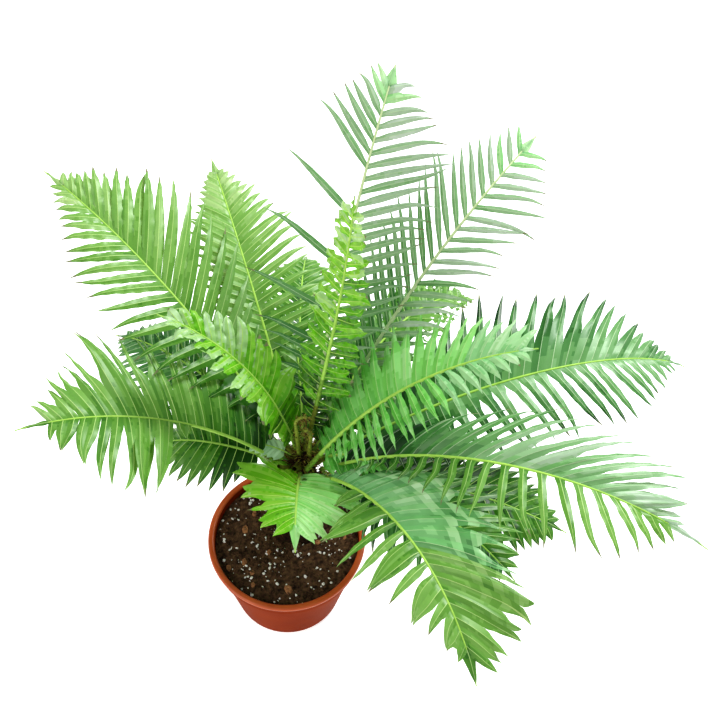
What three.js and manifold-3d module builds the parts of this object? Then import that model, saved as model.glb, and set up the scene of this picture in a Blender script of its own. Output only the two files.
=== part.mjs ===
// A dwarf tree fern in a nursery pot: the pot and its potting mix, a short leaning trunk, coiled young
// fronds, and a crown of arching fronds with two rows of leaflets each.
// Millimetres, +Z up. The origin is the centre of the pot's flat underside.

import * as THREE from "three";
import { mergeVertices } from "three/addons/utils/BufferGeometryUtils.js";
import Module from "manifold-3d";

const wasm = await Module();
wasm.setup();

// Driving dimensions of the pot
const POT_HEIGHT = 122;
const RIM_RADIUS = 85;
const LIP_WIDTH = 7;
const LIP_HEIGHT = 5;
const COLLAR_HEIGHT = 17;
const COLLAR_RADIUS = 82.5;
const BODY_TOP_RADIUS = 79;
const BASE_RADIUS = 61.5;
const WALL = 2.4;
const FLOOR = 4;
const POT_SIDES = 48;
const DRAIN_HOLES = 6;
const DRAIN_HOLE_RADIUS = 5;
const DRAIN_CIRCLE_RADIUS = 38;

// Driving dimensions of the potting mix and the trunk
const SOIL_TOP = 113;
const SOIL_EDGE_DROP = 2.5;
const CLEARANCE = 0.3;
const TRUNK_FOOT = new THREE.Vector2(8, 20);
const CROWN = new THREE.Vector2(16, 30);
const TRUNK_TOP = 250;
const FLARE_RADIUS = 25;
const TRUNK_RADIUS = 14.5;
const TRUNK_TIP_RADIUS = 4;
const STUB_ROWS = 3;
const STUBS_IN_A_ROW = 5;
const FIRST_STUB_SHARE = 0.3;
const STUB_ROW_SHARE = 0.13;
const STUB_TURN_SHARE = 0.02;
const FLARE_SHARE = 0.3;
const DOME_SHARE = 0.84;
const TRUNK_RIDGES = 5;
const RIDGE_HEIGHT_SHARE = 0.09;
const RIDGE_TWIST = 9;
const TRUNK_SIDES = 16;
const STUB_RADII = [3.2, 2.6, 1.6];
const COIL_SOCKET_RADII = [3.6, 2.8];
const STALK_RADII = [2.6, 2.1];
const COIL_RADII = [1.9, 0.9];
const COIL_TURNS = 1.3;
const COIL_STEPS = 14;
const SOCKET_DEPTH = 14;
const SOCKET_SWELL = 1.2;

// Driving dimensions that all the fronds share
const ARCH_POWER = 1.4;
const RIB_STEPS = 90;
const RIB_FOOT = { halfWidth: 2.4, halfHeight: 2.4 };
const RIB_TIP = { halfWidth: 1.0, halfHeight: 0.9 };
const LEAF_THICKNESS = 1.2;
const LEAF_WIDEST_AT = 0.5;
const LEAF_STEPS = 6;
const LEAF_SWEEP = 0.25;
const LEAF_FALL = 1.2;
const FORE_FROM = 0.5;
const FORE_SPAN = 0.35;
const ROOT_SHARE = 0.66;
const FUSED_WIDTH_SHARE = 0.92;
const WIDTH_SHARE = 0.84;
const SHORTEST_LEAF = 9;
const TAIL_HALF_WIDTH = 3.6;
const TAIL_WIDEST_AT = 0.35;
const TAIL_WIDTH_SHARE = 0.22;
const TRIMS = [1, 0.82, 0.64, 0.48, 0.34];

// Colours
const POT_COLOUR = 0xb5492b;
const SOIL_COLOUR = 0x33271f;
const TRUNK_COLOUR = 0x3f2c1b;
const COIL_COLOUR = 0x9a9a3a;
const YOUNG_GREEN = 0x79c043;
const MID_GREEN = 0x3f9433;
const BLUE_GREEN = 0x6fa77c;
const DARK_GREEN = 0x2a6b2c;

// The fronds, in the order in which they take their room. Azimuth is counter-clockwise from +X, rise is
// the rib's first slope, arch is how far it bends down by its tip, sweep how far it turns sideways, all
// in degrees. bare, full, narrow and end are shares of the rib: where its leaflets begin, where they
// reach their longest, where they begin to shorten, and where the last one stands. first and last are the
// shares of the longest that the first and last leaflets have. A side's fore and foreTip are the angles
// of its leaflets to the rib at half its length and near its tip, and a side's own first, last, narrow,
// bare or full stands before the frond's. foreFoot is the angle at the foot where it goes on growing down
// to there, and seat the azimuth at which a frond stands in the crown where that isn't its own. A crowd
// under 1 draws the leaflets together towards the tip. lost lists the leaflets, counted from the foot,
// that have dropped. On a fused frond the roots of neighbouring leaflets meet.
const FRONDS = [
  {
    name: "frond_front_short",
    azimuth: 268, rise: 34, arch: 76, sweep: 8, length: 96, height: 238, reach: 17, seat: 263,
    pairs: 13, bare: 0.02, full: 0.1, narrow: 0.3, end: 0.72,
    first: 0.85, last: 0.3, width: 12, fused: true, colour: YOUNG_GREEN,
    left: { longest: 78, foreFoot: 92, fore: 58, foreTip: 40, lift: 8, droop: 20 },
    right: { longest: 68, foreFoot: 162, fore: 74, foreTip: 48, lift: 12, droop: 16 },
  },
  {
    name: "frond_left_low",
    azimuth: 187, rise: 54, arch: 63, sweep: 12, length: 288, height: 228, reach: 20,
    pairs: 25, bare: 0.06, full: 0.36, narrow: 0.64, end: 0.9,
    first: 0.4, last: 0.16, width: 9.5, fused: true, colour: MID_GREEN,
    left: { longest: 88, fore: 84, foreTip: 76, lift: 14, droop: 27, bare: 0.48, full: 0.52 },
    right: { longest: 102, fore: 68, foreTip: 58, lift: 20, droop: 22, last: 0.22 },
  },
  {
    name: "frond_left_high",
    azimuth: 145, rise: 50, arch: 48, sweep: -2, length: 381, height: 236, reach: 16,
    pairs: 22, crowd: 0.85, bare: 0.12, full: 0.42, narrow: 0.6, end: 0.94,
    first: 0.3, last: 0.14, width: 11.5, colour: MID_GREEN,
    left: { longest: 82, fore: 66, foreTip: 50, lift: 20, droop: 25 },
    right: { longest: 115, fore: 52, foreTip: 40, lift: 20, droop: 22 },
  },
  {
    name: "frond_back_left",
    azimuth: 118, rise: 52, arch: 62, sweep: -8, length: 332, height: 238, reach: 16,
    pairs: 27, bare: 0.12, full: 0.4, narrow: 0.62, end: 0.93,
    first: 0.3, last: 0.16, width: 9, fused: true, colour: MID_GREEN,
    left: { longest: 62, fore: 58, foreTip: 50, lift: 20, droop: 25 },
    right: { longest: 72, fore: 72, foreTip: 54, lift: 20, droop: 25 },
  },
  {
    name: "frond_right_front",
    azimuth: 16.5, rise: 63, arch: 38, sweep: -23, length: 299, height: 239, reach: 13, seat: 288,
    pairs: 22, bare: 0.12, full: 0.4, narrow: 0.6, end: 0.95,
    first: 0.35, last: 0.28, width: 10.5, fused: true, colour: YOUNG_GREEN,
    left: { longest: 74, fore: 76, foreTip: 52, lift: 20, droop: 22, last: 0.4 },
    right: { longest: 60, fore: 66, foreTip: 44, lift: 14, droop: 27 },
  },
  {
    name: "frond_top",
    azimuth: 73, rise: 72, arch: 36, sweep: 1, length: 392, height: 245, reach: 14,
    pairs: 27, bare: 0.15, full: 0.4, narrow: 0.76, end: 0.96,
    first: 0.35, last: 0.26, width: 8, colour: BLUE_GREEN,
    left: { longest: 92, fore: 60, foreTip: 44, lift: 24, droop: 18, narrow: 0.7, last: 0.25 },
    right: { longest: 84, fore: 56, foreTip: 66, lift: 20, droop: 22 },
    lost: { left: [6, 7, 9, 10, 11, 13, 14, 15, 17, 18, 19] },
  },
  {
    name: "frond_right_high",
    azimuth: 42, rise: 64, arch: 39, sweep: 4, length: 386, height: 240, reach: 17,
    pairs: 25, bare: 0.15, full: 0.4, narrow: 0.78, end: 0.96,
    first: 0.35, last: 0.3, width: 7.5, colour: BLUE_GREEN,
    left: { longest: 100, fore: 42, foreTip: 46, lift: 20, droop: 22, narrow: 0.64, last: 0.26 },
    right: { longest: 74, fore: 51, foreTip: 66, lift: 20, droop: 22 },
  },
  {
    name: "frond_right_far",
    azimuth: 12, rise: 40, arch: 84, sweep: 12, length: 434, height: 234, reach: 19,
    pairs: 25, bare: 0.1, full: 0.42, narrow: 0.62, end: 0.93,
    first: 0.25, last: 0.14, width: 10.5, colour: DARK_GREEN,
    left: { longest: 106, fore: 69, foreTip: 44, lift: 20, droop: 22 },
    right: { longest: 78, fore: 76, foreTip: 60, lift: 4, droop: 28, narrow: 0.68, first: 0.55 },
  },
  {
    name: "frond_right_low",
    azimuth: 340, rise: 52, arch: 85, sweep: 3, length: 422, height: 231, reach: 19,
    pairs: 22, bare: 0.06, full: 0.46, narrow: 0.68, end: 0.9,
    first: 0.22, last: 0.14, width: 9.5, colour: BLUE_GREEN,
    left: { longest: 112, fore: 38, foreTip: 27, lift: 20, droop: 22, first: 0.34 },
    right: {
      longest: 76, fore: 86, foreTip: 46, lift: 12, droop: 28,
      bare: 0.14, full: 0.68, narrow: 0.69, last: 0.2,
    },
  },
  {
    name: "frond_bottom",
    azimuth: 319, rise: 46, arch: 88, sweep: -27, length: 309, height: 229, reach: 19,
    pairs: 20, bare: 0.06, full: 0.4, narrow: 0.6, end: 0.9,
    first: 0.35, last: 0.2, width: 12, fused: true, colour: MID_GREEN,
    left: { longest: 102, fore: 47, foreTip: 38, lift: 20, droop: 20, narrow: 0.64, last: 0.3 },
    right: { longest: 68, fore: 88, foreTip: 54, lift: 10, droop: 22, bare: 0.24, full: 0.4, narrow: 0.52 },
  },
  {
    name: "frond_upright_young",
    azimuth: 54, rise: 76, arch: -12, sweep: -19, length: 333, height: 254, reach: 3,
    pairs: 25, bare: 0.1, full: 0.3, narrow: 0.55, end: 0.95,
    first: 0.5, last: 0.5, width: 9, fused: true, colour: YOUNG_GREEN,
    left: { longest: 30, fore: 66, foreTip: 62, lift: 25, droop: 5 },
    right: { longest: 32, fore: 70, foreTip: 64, lift: -16, droop: 5 },
  },
  {
    name: "frond_left_young",
    azimuth: 154, rise: 76, arch: 54, sweep: 23, length: 226, height: 249, reach: 9,
    pairs: 16, bare: 0.1, full: 0.3, narrow: 0.6, end: 0.93,
    first: 0.5, last: 0.35, width: 11, fused: true, colour: YOUNG_GREEN,
    left: { longest: 40, fore: 66, foreTip: 48, lift: 15, droop: 15 },
    right: { longest: 44, fore: 56, foreTip: 44, lift: 15, droop: 10 },
  },
  {
    name: "frond_under_right",
    azimuth: 339, rise: 34, arch: 58, sweep: -22, length: 240, height: 220, reach: 20,
    pairs: 18, bare: 0.08, full: 0.36, narrow: 0.6, end: 0.92,
    first: 0.35, last: 0.2, width: 9.5, colour: DARK_GREEN,
    left: { longest: 84, fore: 56, foreTip: 42, lift: 10, droop: 22 },
    right: { longest: 70, fore: 66, foreTip: 44, lift: 0, droop: 22 },
  },
  {
    name: "frond_back_right",
    azimuth: 62, rise: 40, arch: 95, sweep: -20, length: 296, height: 234, reach: 17,
    pairs: 21, bare: 0.14, full: 0.4, narrow: 0.6, end: 0.94,
    first: 0.4, last: 0.3, width: 9, colour: MID_GREEN,
    left: { longest: 50, fore: 62, foreTip: 50, lift: 15, droop: 20 },
    right: { longest: 50, fore: 62, foreTip: 50, lift: 15, droop: 20 },
  },
  {
    name: "frond_under_left",
    azimuth: 146, rise: 32, arch: 66, sweep: 5, length: 246, height: 227, reach: 20,
    pairs: 17, bare: 0.16, full: 0.4, narrow: 0.62, end: 0.92,
    first: 0.4, last: 0.2, width: 9.5, colour: DARK_GREEN,
    left: { longest: 66, fore: 62, foreTip: 48, lift: 5, droop: 22 },
    right: { longest: 66, fore: 56, foreTip: 44, lift: 10, droop: 22 },
  },
  {
    name: "frond_back",
    azimuth: 99, rise: 38, arch: 78, sweep: -10, length: 258, height: 230, reach: 19,
    pairs: 18, bare: 0.16, full: 0.42, narrow: 0.62, end: 0.93,
    first: 0.4, last: 0.2, width: 9, colour: DARK_GREEN,
    left: { longest: 64, fore: 60, foreTip: 48, lift: 10, droop: 22 },
    right: { longest: 64, fore: 60, foreTip: 48, lift: 10, droop: 22 },
  },
  {
    name: "frond_low_left_short",
    azimuth: 175, rise: 26, arch: 78, sweep: -8, length: 150, height: 222, reach: 20,
    pairs: 12, bare: 0.2, full: 0.4, narrow: 0.6, end: 0.9,
    first: 0.5, last: 0.25, width: 8.5, colour: DARK_GREEN,
    left: { longest: 52, fore: 78, foreTip: 50, lift: 0, droop: 28 },
    right: { longest: 50, fore: 66, foreTip: 46, lift: 5, droop: 22 },
  },
  {
    name: "frond_low_right",
    azimuth: 354, rise: 18, arch: 36, sweep: -13, length: 258, height: 214, reach: 19,
    pairs: 18, bare: 0.18, full: 0.42, narrow: 0.62, end: 0.92,
    first: 0.4, last: 0.25, width: 9.5, colour: DARK_GREEN,
    left: { longest: 70, fore: 60, foreTip: 46, lift: 5, droop: 22 },
    right: { longest: 72, fore: 62, foreTip: 46, lift: 0, droop: 26 },
  },
  {
    name: "frond_inner_front_left",
    azimuth: 176, rise: 36, arch: 50, sweep: 0, length: 48, height: 244, reach: 13,
    pairs: 5, bare: 0.16, full: 0.3, narrow: 0.5, end: 0.8,
    first: 0.95, last: 0.8, width: 10, colour: BLUE_GREEN,
    left: { longest: 15, fore: 58, foreTip: 50, lift: 0, droop: 20 },
    right: { longest: 14, fore: 58, foreTip: 50, lift: 0, droop: 16 },
  },
  {
    name: "frond_inner_front_right",
    azimuth: 357, rise: 36, arch: 52, sweep: -8, length: 88, height: 242, reach: 15,
    pairs: 9, bare: 0.08, full: 0.3, narrow: 0.5, end: 0.9,
    first: 0.8, last: 0.4, width: 10, colour: YOUNG_GREEN,
    left: { longest: 30, fore: 60, foreTip: 48, lift: 16, droop: 18 },
    right: { longest: 30, fore: 60, foreTip: 48, lift: 6, droop: 22 },
  },
  {
    name: "frond_inner_right",
    azimuth: 22, rise: 66, arch: 50, sweep: -4, length: 118, height: 250, reach: 10,
    pairs: 9, bare: 0.1, full: 0.35, narrow: 0.55, end: 0.92,
    first: 0.5, last: 0.35, width: 8.5, colour: DARK_GREEN,
    left: { longest: 40, fore: 60, foreTip: 46, lift: 12, droop: 18 },
    right: { longest: 40, fore: 60, foreTip: 46, lift: 12, droop: 18 },
  },
  {
    name: "frond_inner_back",
    azimuth: 98, rise: 64, arch: 48, sweep: 4, length: 112, height: 249, reach: 8,
    pairs: 9, bare: 0.1, full: 0.35, narrow: 0.55, end: 0.92,
    first: 0.5, last: 0.35, width: 8.5, colour: DARK_GREEN,
    left: { longest: 38, fore: 60, foreTip: 46, lift: 12, droop: 18 },
    right: { longest: 38, fore: 60, foreTip: 46, lift: 12, droop: 18 },
  },
];

// Coiled young fronds that stand in the middle of the crown
const COILS = [
  { name: "young_coil_left", azimuth: 205, reach: 5, lean: 3, stalk: 62, coil: 7 },
  { name: "young_coil_right", azimuth: 335, reach: 6, lean: 3, stalk: 40, coil: 5.5 },
];

const radians = THREE.MathUtils.degToRad;
const lerp = THREE.MathUtils.lerp;
const clamp = THREE.MathUtils.clamp;
const smoothstep = THREE.MathUtils.smoothstep;

// Triangles of one body, gathered face by face

function newBody() {
  return { points: [], triangles: [] };
}

function addRing(body, corners) {
  const first = body.points.length;
  body.points.push(...corners);
  return corners.map((corner, index) => first + index);
}

function addQuad(body, a, b, c, d) {
  body.triangles.push([a, b, c], [a, c, d]);
}

// Faces between two rings that both run counter-clockwise about the way from the first to the second.
function joinRings(body, from, to) {
  for (let side = 0; side < from.length; side += 1) {
    const next = (side + 1) % from.length;
    addQuad(body, from[side], from[next], to[next], to[side]);
  }
}

function joinRingToPoint(body, ring, point) {
  for (let side = 0; side < ring.length; side += 1) {
    body.triangles.push([ring[side], ring[(side + 1) % ring.length], point]);
  }
}

// Flat end across a ring; backwards is the end that faces against the ring's own way.
function capRing(body, ring, backwards) {
  for (let side = 1; side < ring.length - 1; side += 1) {
    const triangle = [ring[0], ring[side], ring[side + 1]];
    body.triangles.push(backwards ? triangle.reverse() : triangle);
  }
}

function toGeometry(body) {
  const positions = body.triangles.flat().flatMap((index) => body.points[index].toArray());
  const geometry = new THREE.BufferGeometry();
  geometry.setAttribute("position", new THREE.Float32BufferAttribute(positions, 3));
  return geometry;
}

// Between three.js geometry and solids for joining and cutting

function toSolid(geometry) {
  const bare = geometry.clone();
  bare.deleteAttribute("normal");
  bare.deleteAttribute("uv");
  const merged = mergeVertices(bare, 1e-4);
  const mesh = new wasm.Mesh({
    numProp: 3,
    vertProperties: new Float32Array(merged.attributes.position.array),
    triVerts: new Uint32Array(merged.index.array),
  });
  return new wasm.Manifold(mesh);
}

function fromSolid(solid) {
  const mesh = solid.getMesh();
  const geometry = new THREE.BufferGeometry();
  const positions = [];
  for (const index of mesh.triVerts) {
    const start = index * mesh.numProp;
    positions.push(...mesh.vertProperties.slice(start, start + 3));
  }
  geometry.setAttribute("position", new THREE.Float32BufferAttribute(positions, 3));
  return geometry;
}

function toMesh(name, geometry, colour, roughness) {
  geometry.computeVertexNormals();
  const material = new THREE.MeshStandardMaterial({ color: colour, roughness, flatShading: true });
  const mesh = new THREE.Mesh(geometry, material);
  mesh.name = name;
  return mesh;
}

// Pot

function potProfile() {
  const collarFoot = POT_HEIGHT - COLLAR_HEIGHT;
  const inner = RIM_RADIUS - LIP_WIDTH;
  const points = [
    [0, 0],
    [BASE_RADIUS - 1.5, 0],
    [BASE_RADIUS, 1.5],
    [BODY_TOP_RADIUS, collarFoot - 1],
    [COLLAR_RADIUS - 0.5, collarFoot],
    [COLLAR_RADIUS, POT_HEIGHT - LIP_HEIGHT],
    [RIM_RADIUS, POT_HEIGHT - LIP_HEIGHT + 1.2],
    [RIM_RADIUS, POT_HEIGHT - 1.5],
    [RIM_RADIUS - 1.6, POT_HEIGHT],
    [inner + 1.4, POT_HEIGHT],
    [inner, POT_HEIGHT - 1.4],
    [inner, collarFoot + 2],
    [BODY_TOP_RADIUS - WALL, collarFoot - 3],
    [BASE_RADIUS - WALL, FLOOR],
    [0, FLOOR],
  ];
  return points.map(([radius, height]) => new THREE.Vector2(radius, height));
}

function latheSolid(profile) {
  const geometry = new THREE.LatheGeometry(profile, POT_SIDES);
  geometry.rotateX(Math.PI / 2);
  return toSolid(geometry);
}

function makePot() {
  let pot = latheSolid(potProfile());
  for (let hole = 0; hole < DRAIN_HOLES; hole += 1) {
    const angle = (2 * Math.PI * (hole + 0.5)) / DRAIN_HOLES;
    const drill = new THREE.CylinderGeometry(DRAIN_HOLE_RADIUS, DRAIN_HOLE_RADIUS, 3 * FLOOR, 12);
    drill.rotateX(Math.PI / 2);
    const place = new THREE.Vector2(DRAIN_CIRCLE_RADIUS, 0).rotateAround(new THREE.Vector2(), angle);
    drill.translate(place.x, place.y, FLOOR / 2);
    pot = pot.subtract(toSolid(drill));
  }
  return toMesh("pot", fromSolid(pot), POT_COLOUR, 0.45);
}

// Potting mix, which fills the pot's inside and keeps a thin gap to its wall
function makeSoil() {
  const collarFoot = POT_HEIGHT - COLLAR_HEIGHT;
  const edge = SOIL_TOP - SOIL_EDGE_DROP;
  const profile = [
    new THREE.Vector2(0, FLOOR + CLEARANCE),
    new THREE.Vector2(BASE_RADIUS - WALL - 0.5, FLOOR + CLEARANCE),
    new THREE.Vector2(BODY_TOP_RADIUS - WALL - 0.5, collarFoot - 3),
    new THREE.Vector2(RIM_RADIUS - LIP_WIDTH - 0.6, edge),
    new THREE.Vector2(RIM_RADIUS - LIP_WIDTH - 6, SOIL_TOP - 1),
    new THREE.Vector2(RIM_RADIUS - LIP_WIDTH - 18, SOIL_TOP),
    new THREE.Vector2(0, SOIL_TOP),
  ];
  return toMesh("soil", fromSolid(latheSolid(profile)), SOIL_COLOUR, 0.95);
}

// Trunk

// Tube through sections of { centre, radius }, round about each section's way along, closed at both ends.
function makeTube(sections, sides) {
  const body = newBody();
  const rings = sections.map((section, index) => {
    const before = sections[Math.max(index - 1, 0)].centre;
    const after = sections[Math.min(index + 1, sections.length - 1)].centre;
    const along = after.clone().sub(before).normalize();
    const across = new THREE.Vector3(0, 1, 0).cross(along).normalize();
    const level = section.flat ? new THREE.Vector3(1, 0, 0) : across;
    const third = section.flat ? new THREE.Vector3(0, 1, 0) : along.clone().cross(across);
    const corners = [];
    for (let side = 0; side < sides; side += 1) {
      const angle = (2 * Math.PI * side) / sides;
      const bump = section.bump ? section.bump(angle) : 1;
      const corner = section.centre.clone();
      corner.addScaledVector(level, section.radius * bump * Math.cos(angle));
      corner.addScaledVector(third, section.radius * bump * Math.sin(angle));
      corners.push(corner);
    }
    return addRing(body, corners);
  });
  capRing(body, rings[0], true);
  for (let index = 1; index < rings.length; index += 1) joinRings(body, rings[index - 1], rings[index]);
  capRing(body, rings[rings.length - 1], false);
  return toGeometry(body);
}

// The trunk's middle line leans from its foot to the crown.
function trunkCentre(share) {
  const bend = share ** 1.3;
  return new THREE.Vector3(
    lerp(TRUNK_FOOT.x, CROWN.x, bend),
    lerp(TRUNK_FOOT.y, CROWN.y, bend),
    lerp(SOIL_TOP + CLEARANCE, TRUNK_TOP, share),
  );
}

function trunkRadius(share) {
  const flare = (FLARE_RADIUS - TRUNK_RADIUS) * (1 - smoothstep(share, 0, FLARE_SHARE)) ** 1.5;
  const dome = lerp(1, TRUNK_TIP_RADIUS / TRUNK_RADIUS, smoothstep(share, DOME_SHARE, 1));
  return (TRUNK_RADIUS + flare) * dome;
}

function makeTrunk() {
  const shares = [0, 0.06, 0.14, 0.24, 0.36, 0.5, 0.64, 0.76, 0.85, 0.93, 1];
  const sections = shares.map((share) => ({
    centre: trunkCentre(share),
    radius: trunkRadius(share),
    flat: true,
    bump: (angle) => {
      const ridge = Math.sin(TRUNK_RIDGES * angle + RIDGE_TWIST * share);
      return 1 + RIDGE_HEIGHT_SHARE * (1 - share) * ridge;
    },
  }));
  let trunk = toSolid(makeTube(sections, TRUNK_SIDES));
  for (let row = 0; row < STUB_ROWS; row += 1) {
    for (let stub = 0; stub < STUBS_IN_A_ROW; stub += 1) {
      const share = FIRST_STUB_SHARE + STUB_ROW_SHARE * row + STUB_TURN_SHARE * stub;
      const angle = (2 * Math.PI * (stub + 0.5 * (row % 2))) / STUBS_IN_A_ROW;
      trunk = trunk.add(toSolid(makeStub(share, angle)));
    }
  }
  for (const frond of FRONDS) trunk = trunk.add(toSolid(makeSocket(frond)));
  for (const coil of COILS) trunk = trunk.add(toSolid(makeCoilSocket(coil)));
  for (const frond of FRONDS) trunk = trunk.subtract(toSolid(makeFootRoom(frond)));
  return toMesh("trunk", fromSolid(trunk), TRUNK_COLOUR, 0.95);
}

// Straight bar along a frond's first direction, between two places given as distances past its foot
function footBar(frond, from, fromMargin, to, toMargin) {
  const body = newBody();
  const points = ribPoints(frond);
  const { along } = ribAxes(frond, 0);
  const ringAt = (distance, margin) => {
    const corners = ribCorners(frond, points, 0, margin);
    return addRing(body, corners.map((corner) => corner.addScaledVector(along, distance)));
  };
  const first = ringAt(from, fromMargin);
  const last = ringAt(to, toMargin);
  capRing(body, first, true);
  joinRings(body, first, last);
  capRing(body, last, false);
  return toGeometry(body);
}

// The swollen base that carries a living frond. It rises out of the trunk and ends just under the foot.
function makeSocket(frond) {
  return footBar(frond, -SOCKET_DEPTH, SOCKET_SWELL, -CLEARANCE, 0);
}

// Room for a frond's foot among the bases of the others
function makeFootRoom(frond) {
  return footBar(frond, -0.5 * CLEARANCE, CLEARANCE, SOCKET_DEPTH, CLEARANCE);
}

function makeCoilSocket(coil) {
  const { foot, way } = coilFoot(coil);
  const sections = [
    { centre: foot.clone().addScaledVector(way, -SOCKET_DEPTH), radius: COIL_SOCKET_RADII[0] },
    { centre: foot.clone().addScaledVector(way, -CLEARANCE), radius: COIL_SOCKET_RADII[1] },
  ];
  return makeTube(sections, 6);
}

// The base of an old frond, broken off short
function makeStub(share, angle) {
  const outward = new THREE.Vector3(Math.cos(angle), Math.sin(angle), 0);
  const root = trunkCentre(share).addScaledVector(outward, trunkRadius(share) - 4);
  const middle = root.clone().addScaledVector(outward, 7).add(new THREE.Vector3(0, 0, 6));
  const end = middle.clone().addScaledVector(outward, 3).add(new THREE.Vector3(0, 0, 7));
  const sections = [
    { centre: root, radius: STUB_RADII[0] },
    { centre: middle, radius: STUB_RADII[1] },
    { centre: end, radius: STUB_RADII[2] },
  ];
  return makeTube(sections, 5);
}

// Young fronds

function coilFoot(coil) {
  const heading = radians(coil.azimuth);
  const outward = new THREE.Vector3(Math.cos(heading), Math.sin(heading), 0);
  const foot = new THREE.Vector3(CROWN.x, CROWN.y, TRUNK_TOP).addScaledVector(outward, coil.reach);
  const lean = radians(coil.lean);
  const way = outward.clone().multiplyScalar(Math.sin(lean)).add(new THREE.Vector3(0, 0, Math.cos(lean)));
  return { foot, outward, way };
}

// A stalk that ends in a coil, whose turns grow smaller inward without meeting.
function makeCoil(coil) {
  const { foot, outward, way } = coilFoot(coil);
  const head = foot.clone().addScaledVector(way, coil.stalk);
  const hub = head.clone().addScaledVector(outward, -coil.coil);
  const sections = [0, 0.35, 0.7].map((share) => ({
    centre: foot.clone().lerp(head, share),
    radius: lerp(STALK_RADII[0], STALK_RADII[1], share),
  }));
  for (let step = 0; step <= COIL_STEPS; step += 1) {
    const share = step / COIL_STEPS;
    const angle = COIL_TURNS * 2 * Math.PI * share;
    const radius = lerp(coil.coil, COIL_RADII[0], share ** 0.8);
    const centre = hub.clone();
    centre.addScaledVector(outward, radius * Math.cos(angle));
    centre.add(new THREE.Vector3(0, 0, radius * Math.sin(angle)));
    sections.push({ centre, radius: lerp(COIL_RADII[0], COIL_RADII[1], share) });
  }
  return toMesh(coil.name, coilTube(sections, outward), COIL_COLOUR, 0.7);
}

// Tube whose path stays in the upright plane through outward, so that its sections never twist.
function coilTube(sections, outward) {
  const sides = 6;
  const sideways = new THREE.Vector3(0, 0, 1).cross(outward);
  const body = newBody();
  const rings = sections.map((section, index) => {
    const before = sections[Math.max(index - 1, 0)].centre;
    const after = sections[Math.min(index + 1, sections.length - 1)].centre;
    const along = after.clone().sub(before).normalize();
    const third = along.clone().cross(sideways);
    const corners = [];
    for (let side = 0; side < sides; side += 1) {
      const angle = (2 * Math.PI * side) / sides;
      const corner = section.centre.clone();
      corner.addScaledVector(sideways, section.radius * Math.cos(angle));
      corner.addScaledVector(third, section.radius * Math.sin(angle));
      corners.push(corner);
    }
    return addRing(body, corners);
  });
  capRing(body, rings[0], true);
  for (let index = 1; index < rings.length; index += 1) joinRings(body, rings[index - 1], rings[index]);
  capRing(body, rings[rings.length - 1], false);
  return toGeometry(body);
}

// Fronds

// The rib's own axes at a share of its length: along it, to its left, and up from its upper face.
function ribAxes(frond, share) {
  const heading = radians(frond.azimuth + frond.sweep * share);
  const slope = radians(frond.rise - frond.arch * share ** ARCH_POWER);
  const along = new THREE.Vector3(
    Math.cos(slope) * Math.cos(heading),
    Math.cos(slope) * Math.sin(heading),
    Math.sin(slope),
  );
  const left = new THREE.Vector3(-Math.sin(heading), Math.cos(heading), 0);
  const up = along.clone().cross(left);
  return { along, left, up };
}

function ribPoints(frond) {
  const seat = radians(frond.seat ?? frond.azimuth);
  const point = new THREE.Vector3(CROWN.x, CROWN.y, frond.height);
  point.x += frond.reach * Math.cos(seat);
  point.y += frond.reach * Math.sin(seat);
  const points = [point.clone()];
  for (let step = 0; step < RIB_STEPS; step += 1) {
    const { along } = ribAxes(frond, (step + 0.5) / RIB_STEPS);
    point.addScaledVector(along, frond.length / RIB_STEPS);
    points.push(point.clone());
  }
  return points;
}

function pointOnRib(points, share) {
  const place = clamp(share, 0, 1) * RIB_STEPS;
  const index = Math.min(Math.floor(place), RIB_STEPS - 1);
  return points[index].clone().lerp(points[index + 1], place - index);
}

function ribSize(share) {
  return {
    halfWidth: lerp(RIB_FOOT.halfWidth, RIB_TIP.halfWidth, share),
    halfHeight: lerp(RIB_FOOT.halfHeight, RIB_TIP.halfHeight, share),
  };
}

// Corners in the order left top, right top, right bottom, left bottom, grown on all sides by margin
function ribCorners(frond, points, share, margin, halfWidth = ribSize(share).halfWidth) {
  const { left, up } = ribAxes(frond, share);
  const centre = pointOnRib(points, share);
  const { halfHeight } = ribSize(share);
  return [[1, 1], [-1, 1], [-1, -1], [1, -1]].map(([leftward, upward]) => {
    const corner = centre.clone();
    corner.addScaledVector(left, leftward * (halfWidth + margin));
    corner.addScaledVector(up, upward * (halfHeight + margin));
    return corner;
  });
}

// What one side of a frond is shaped by: its own values before the ones that the sides share
function sideOf(frond, side) {
  return { ...frond, ...(side > 0 ? frond.left : frond.right) };
}

// Share of the longest leaflet's length that a leaflet at this place on the rib has
function leafShare(settings, share) {
  if (share < settings.bare) return 0;
  const growth = lerp(settings.first, 1, smoothstep(share, settings.bare, settings.full));
  const fading = clamp((share - settings.narrow) / (settings.end - settings.narrow), 0, 1);
  return growth * lerp(1, settings.last, fading);
}

// Angle in degrees between the rib and a leaflet at this place on it
function foreAngle(settings, share) {
  if (settings.foreFoot && share < FORE_FROM) {
    return lerp(settings.foreFoot, settings.fore, share / FORE_FROM);
  }
  const onward = clamp((share - FORE_FROM) / FORE_SPAN, -0.4, 1.2);
  return lerp(settings.fore, settings.foreTip, onward);
}

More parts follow.
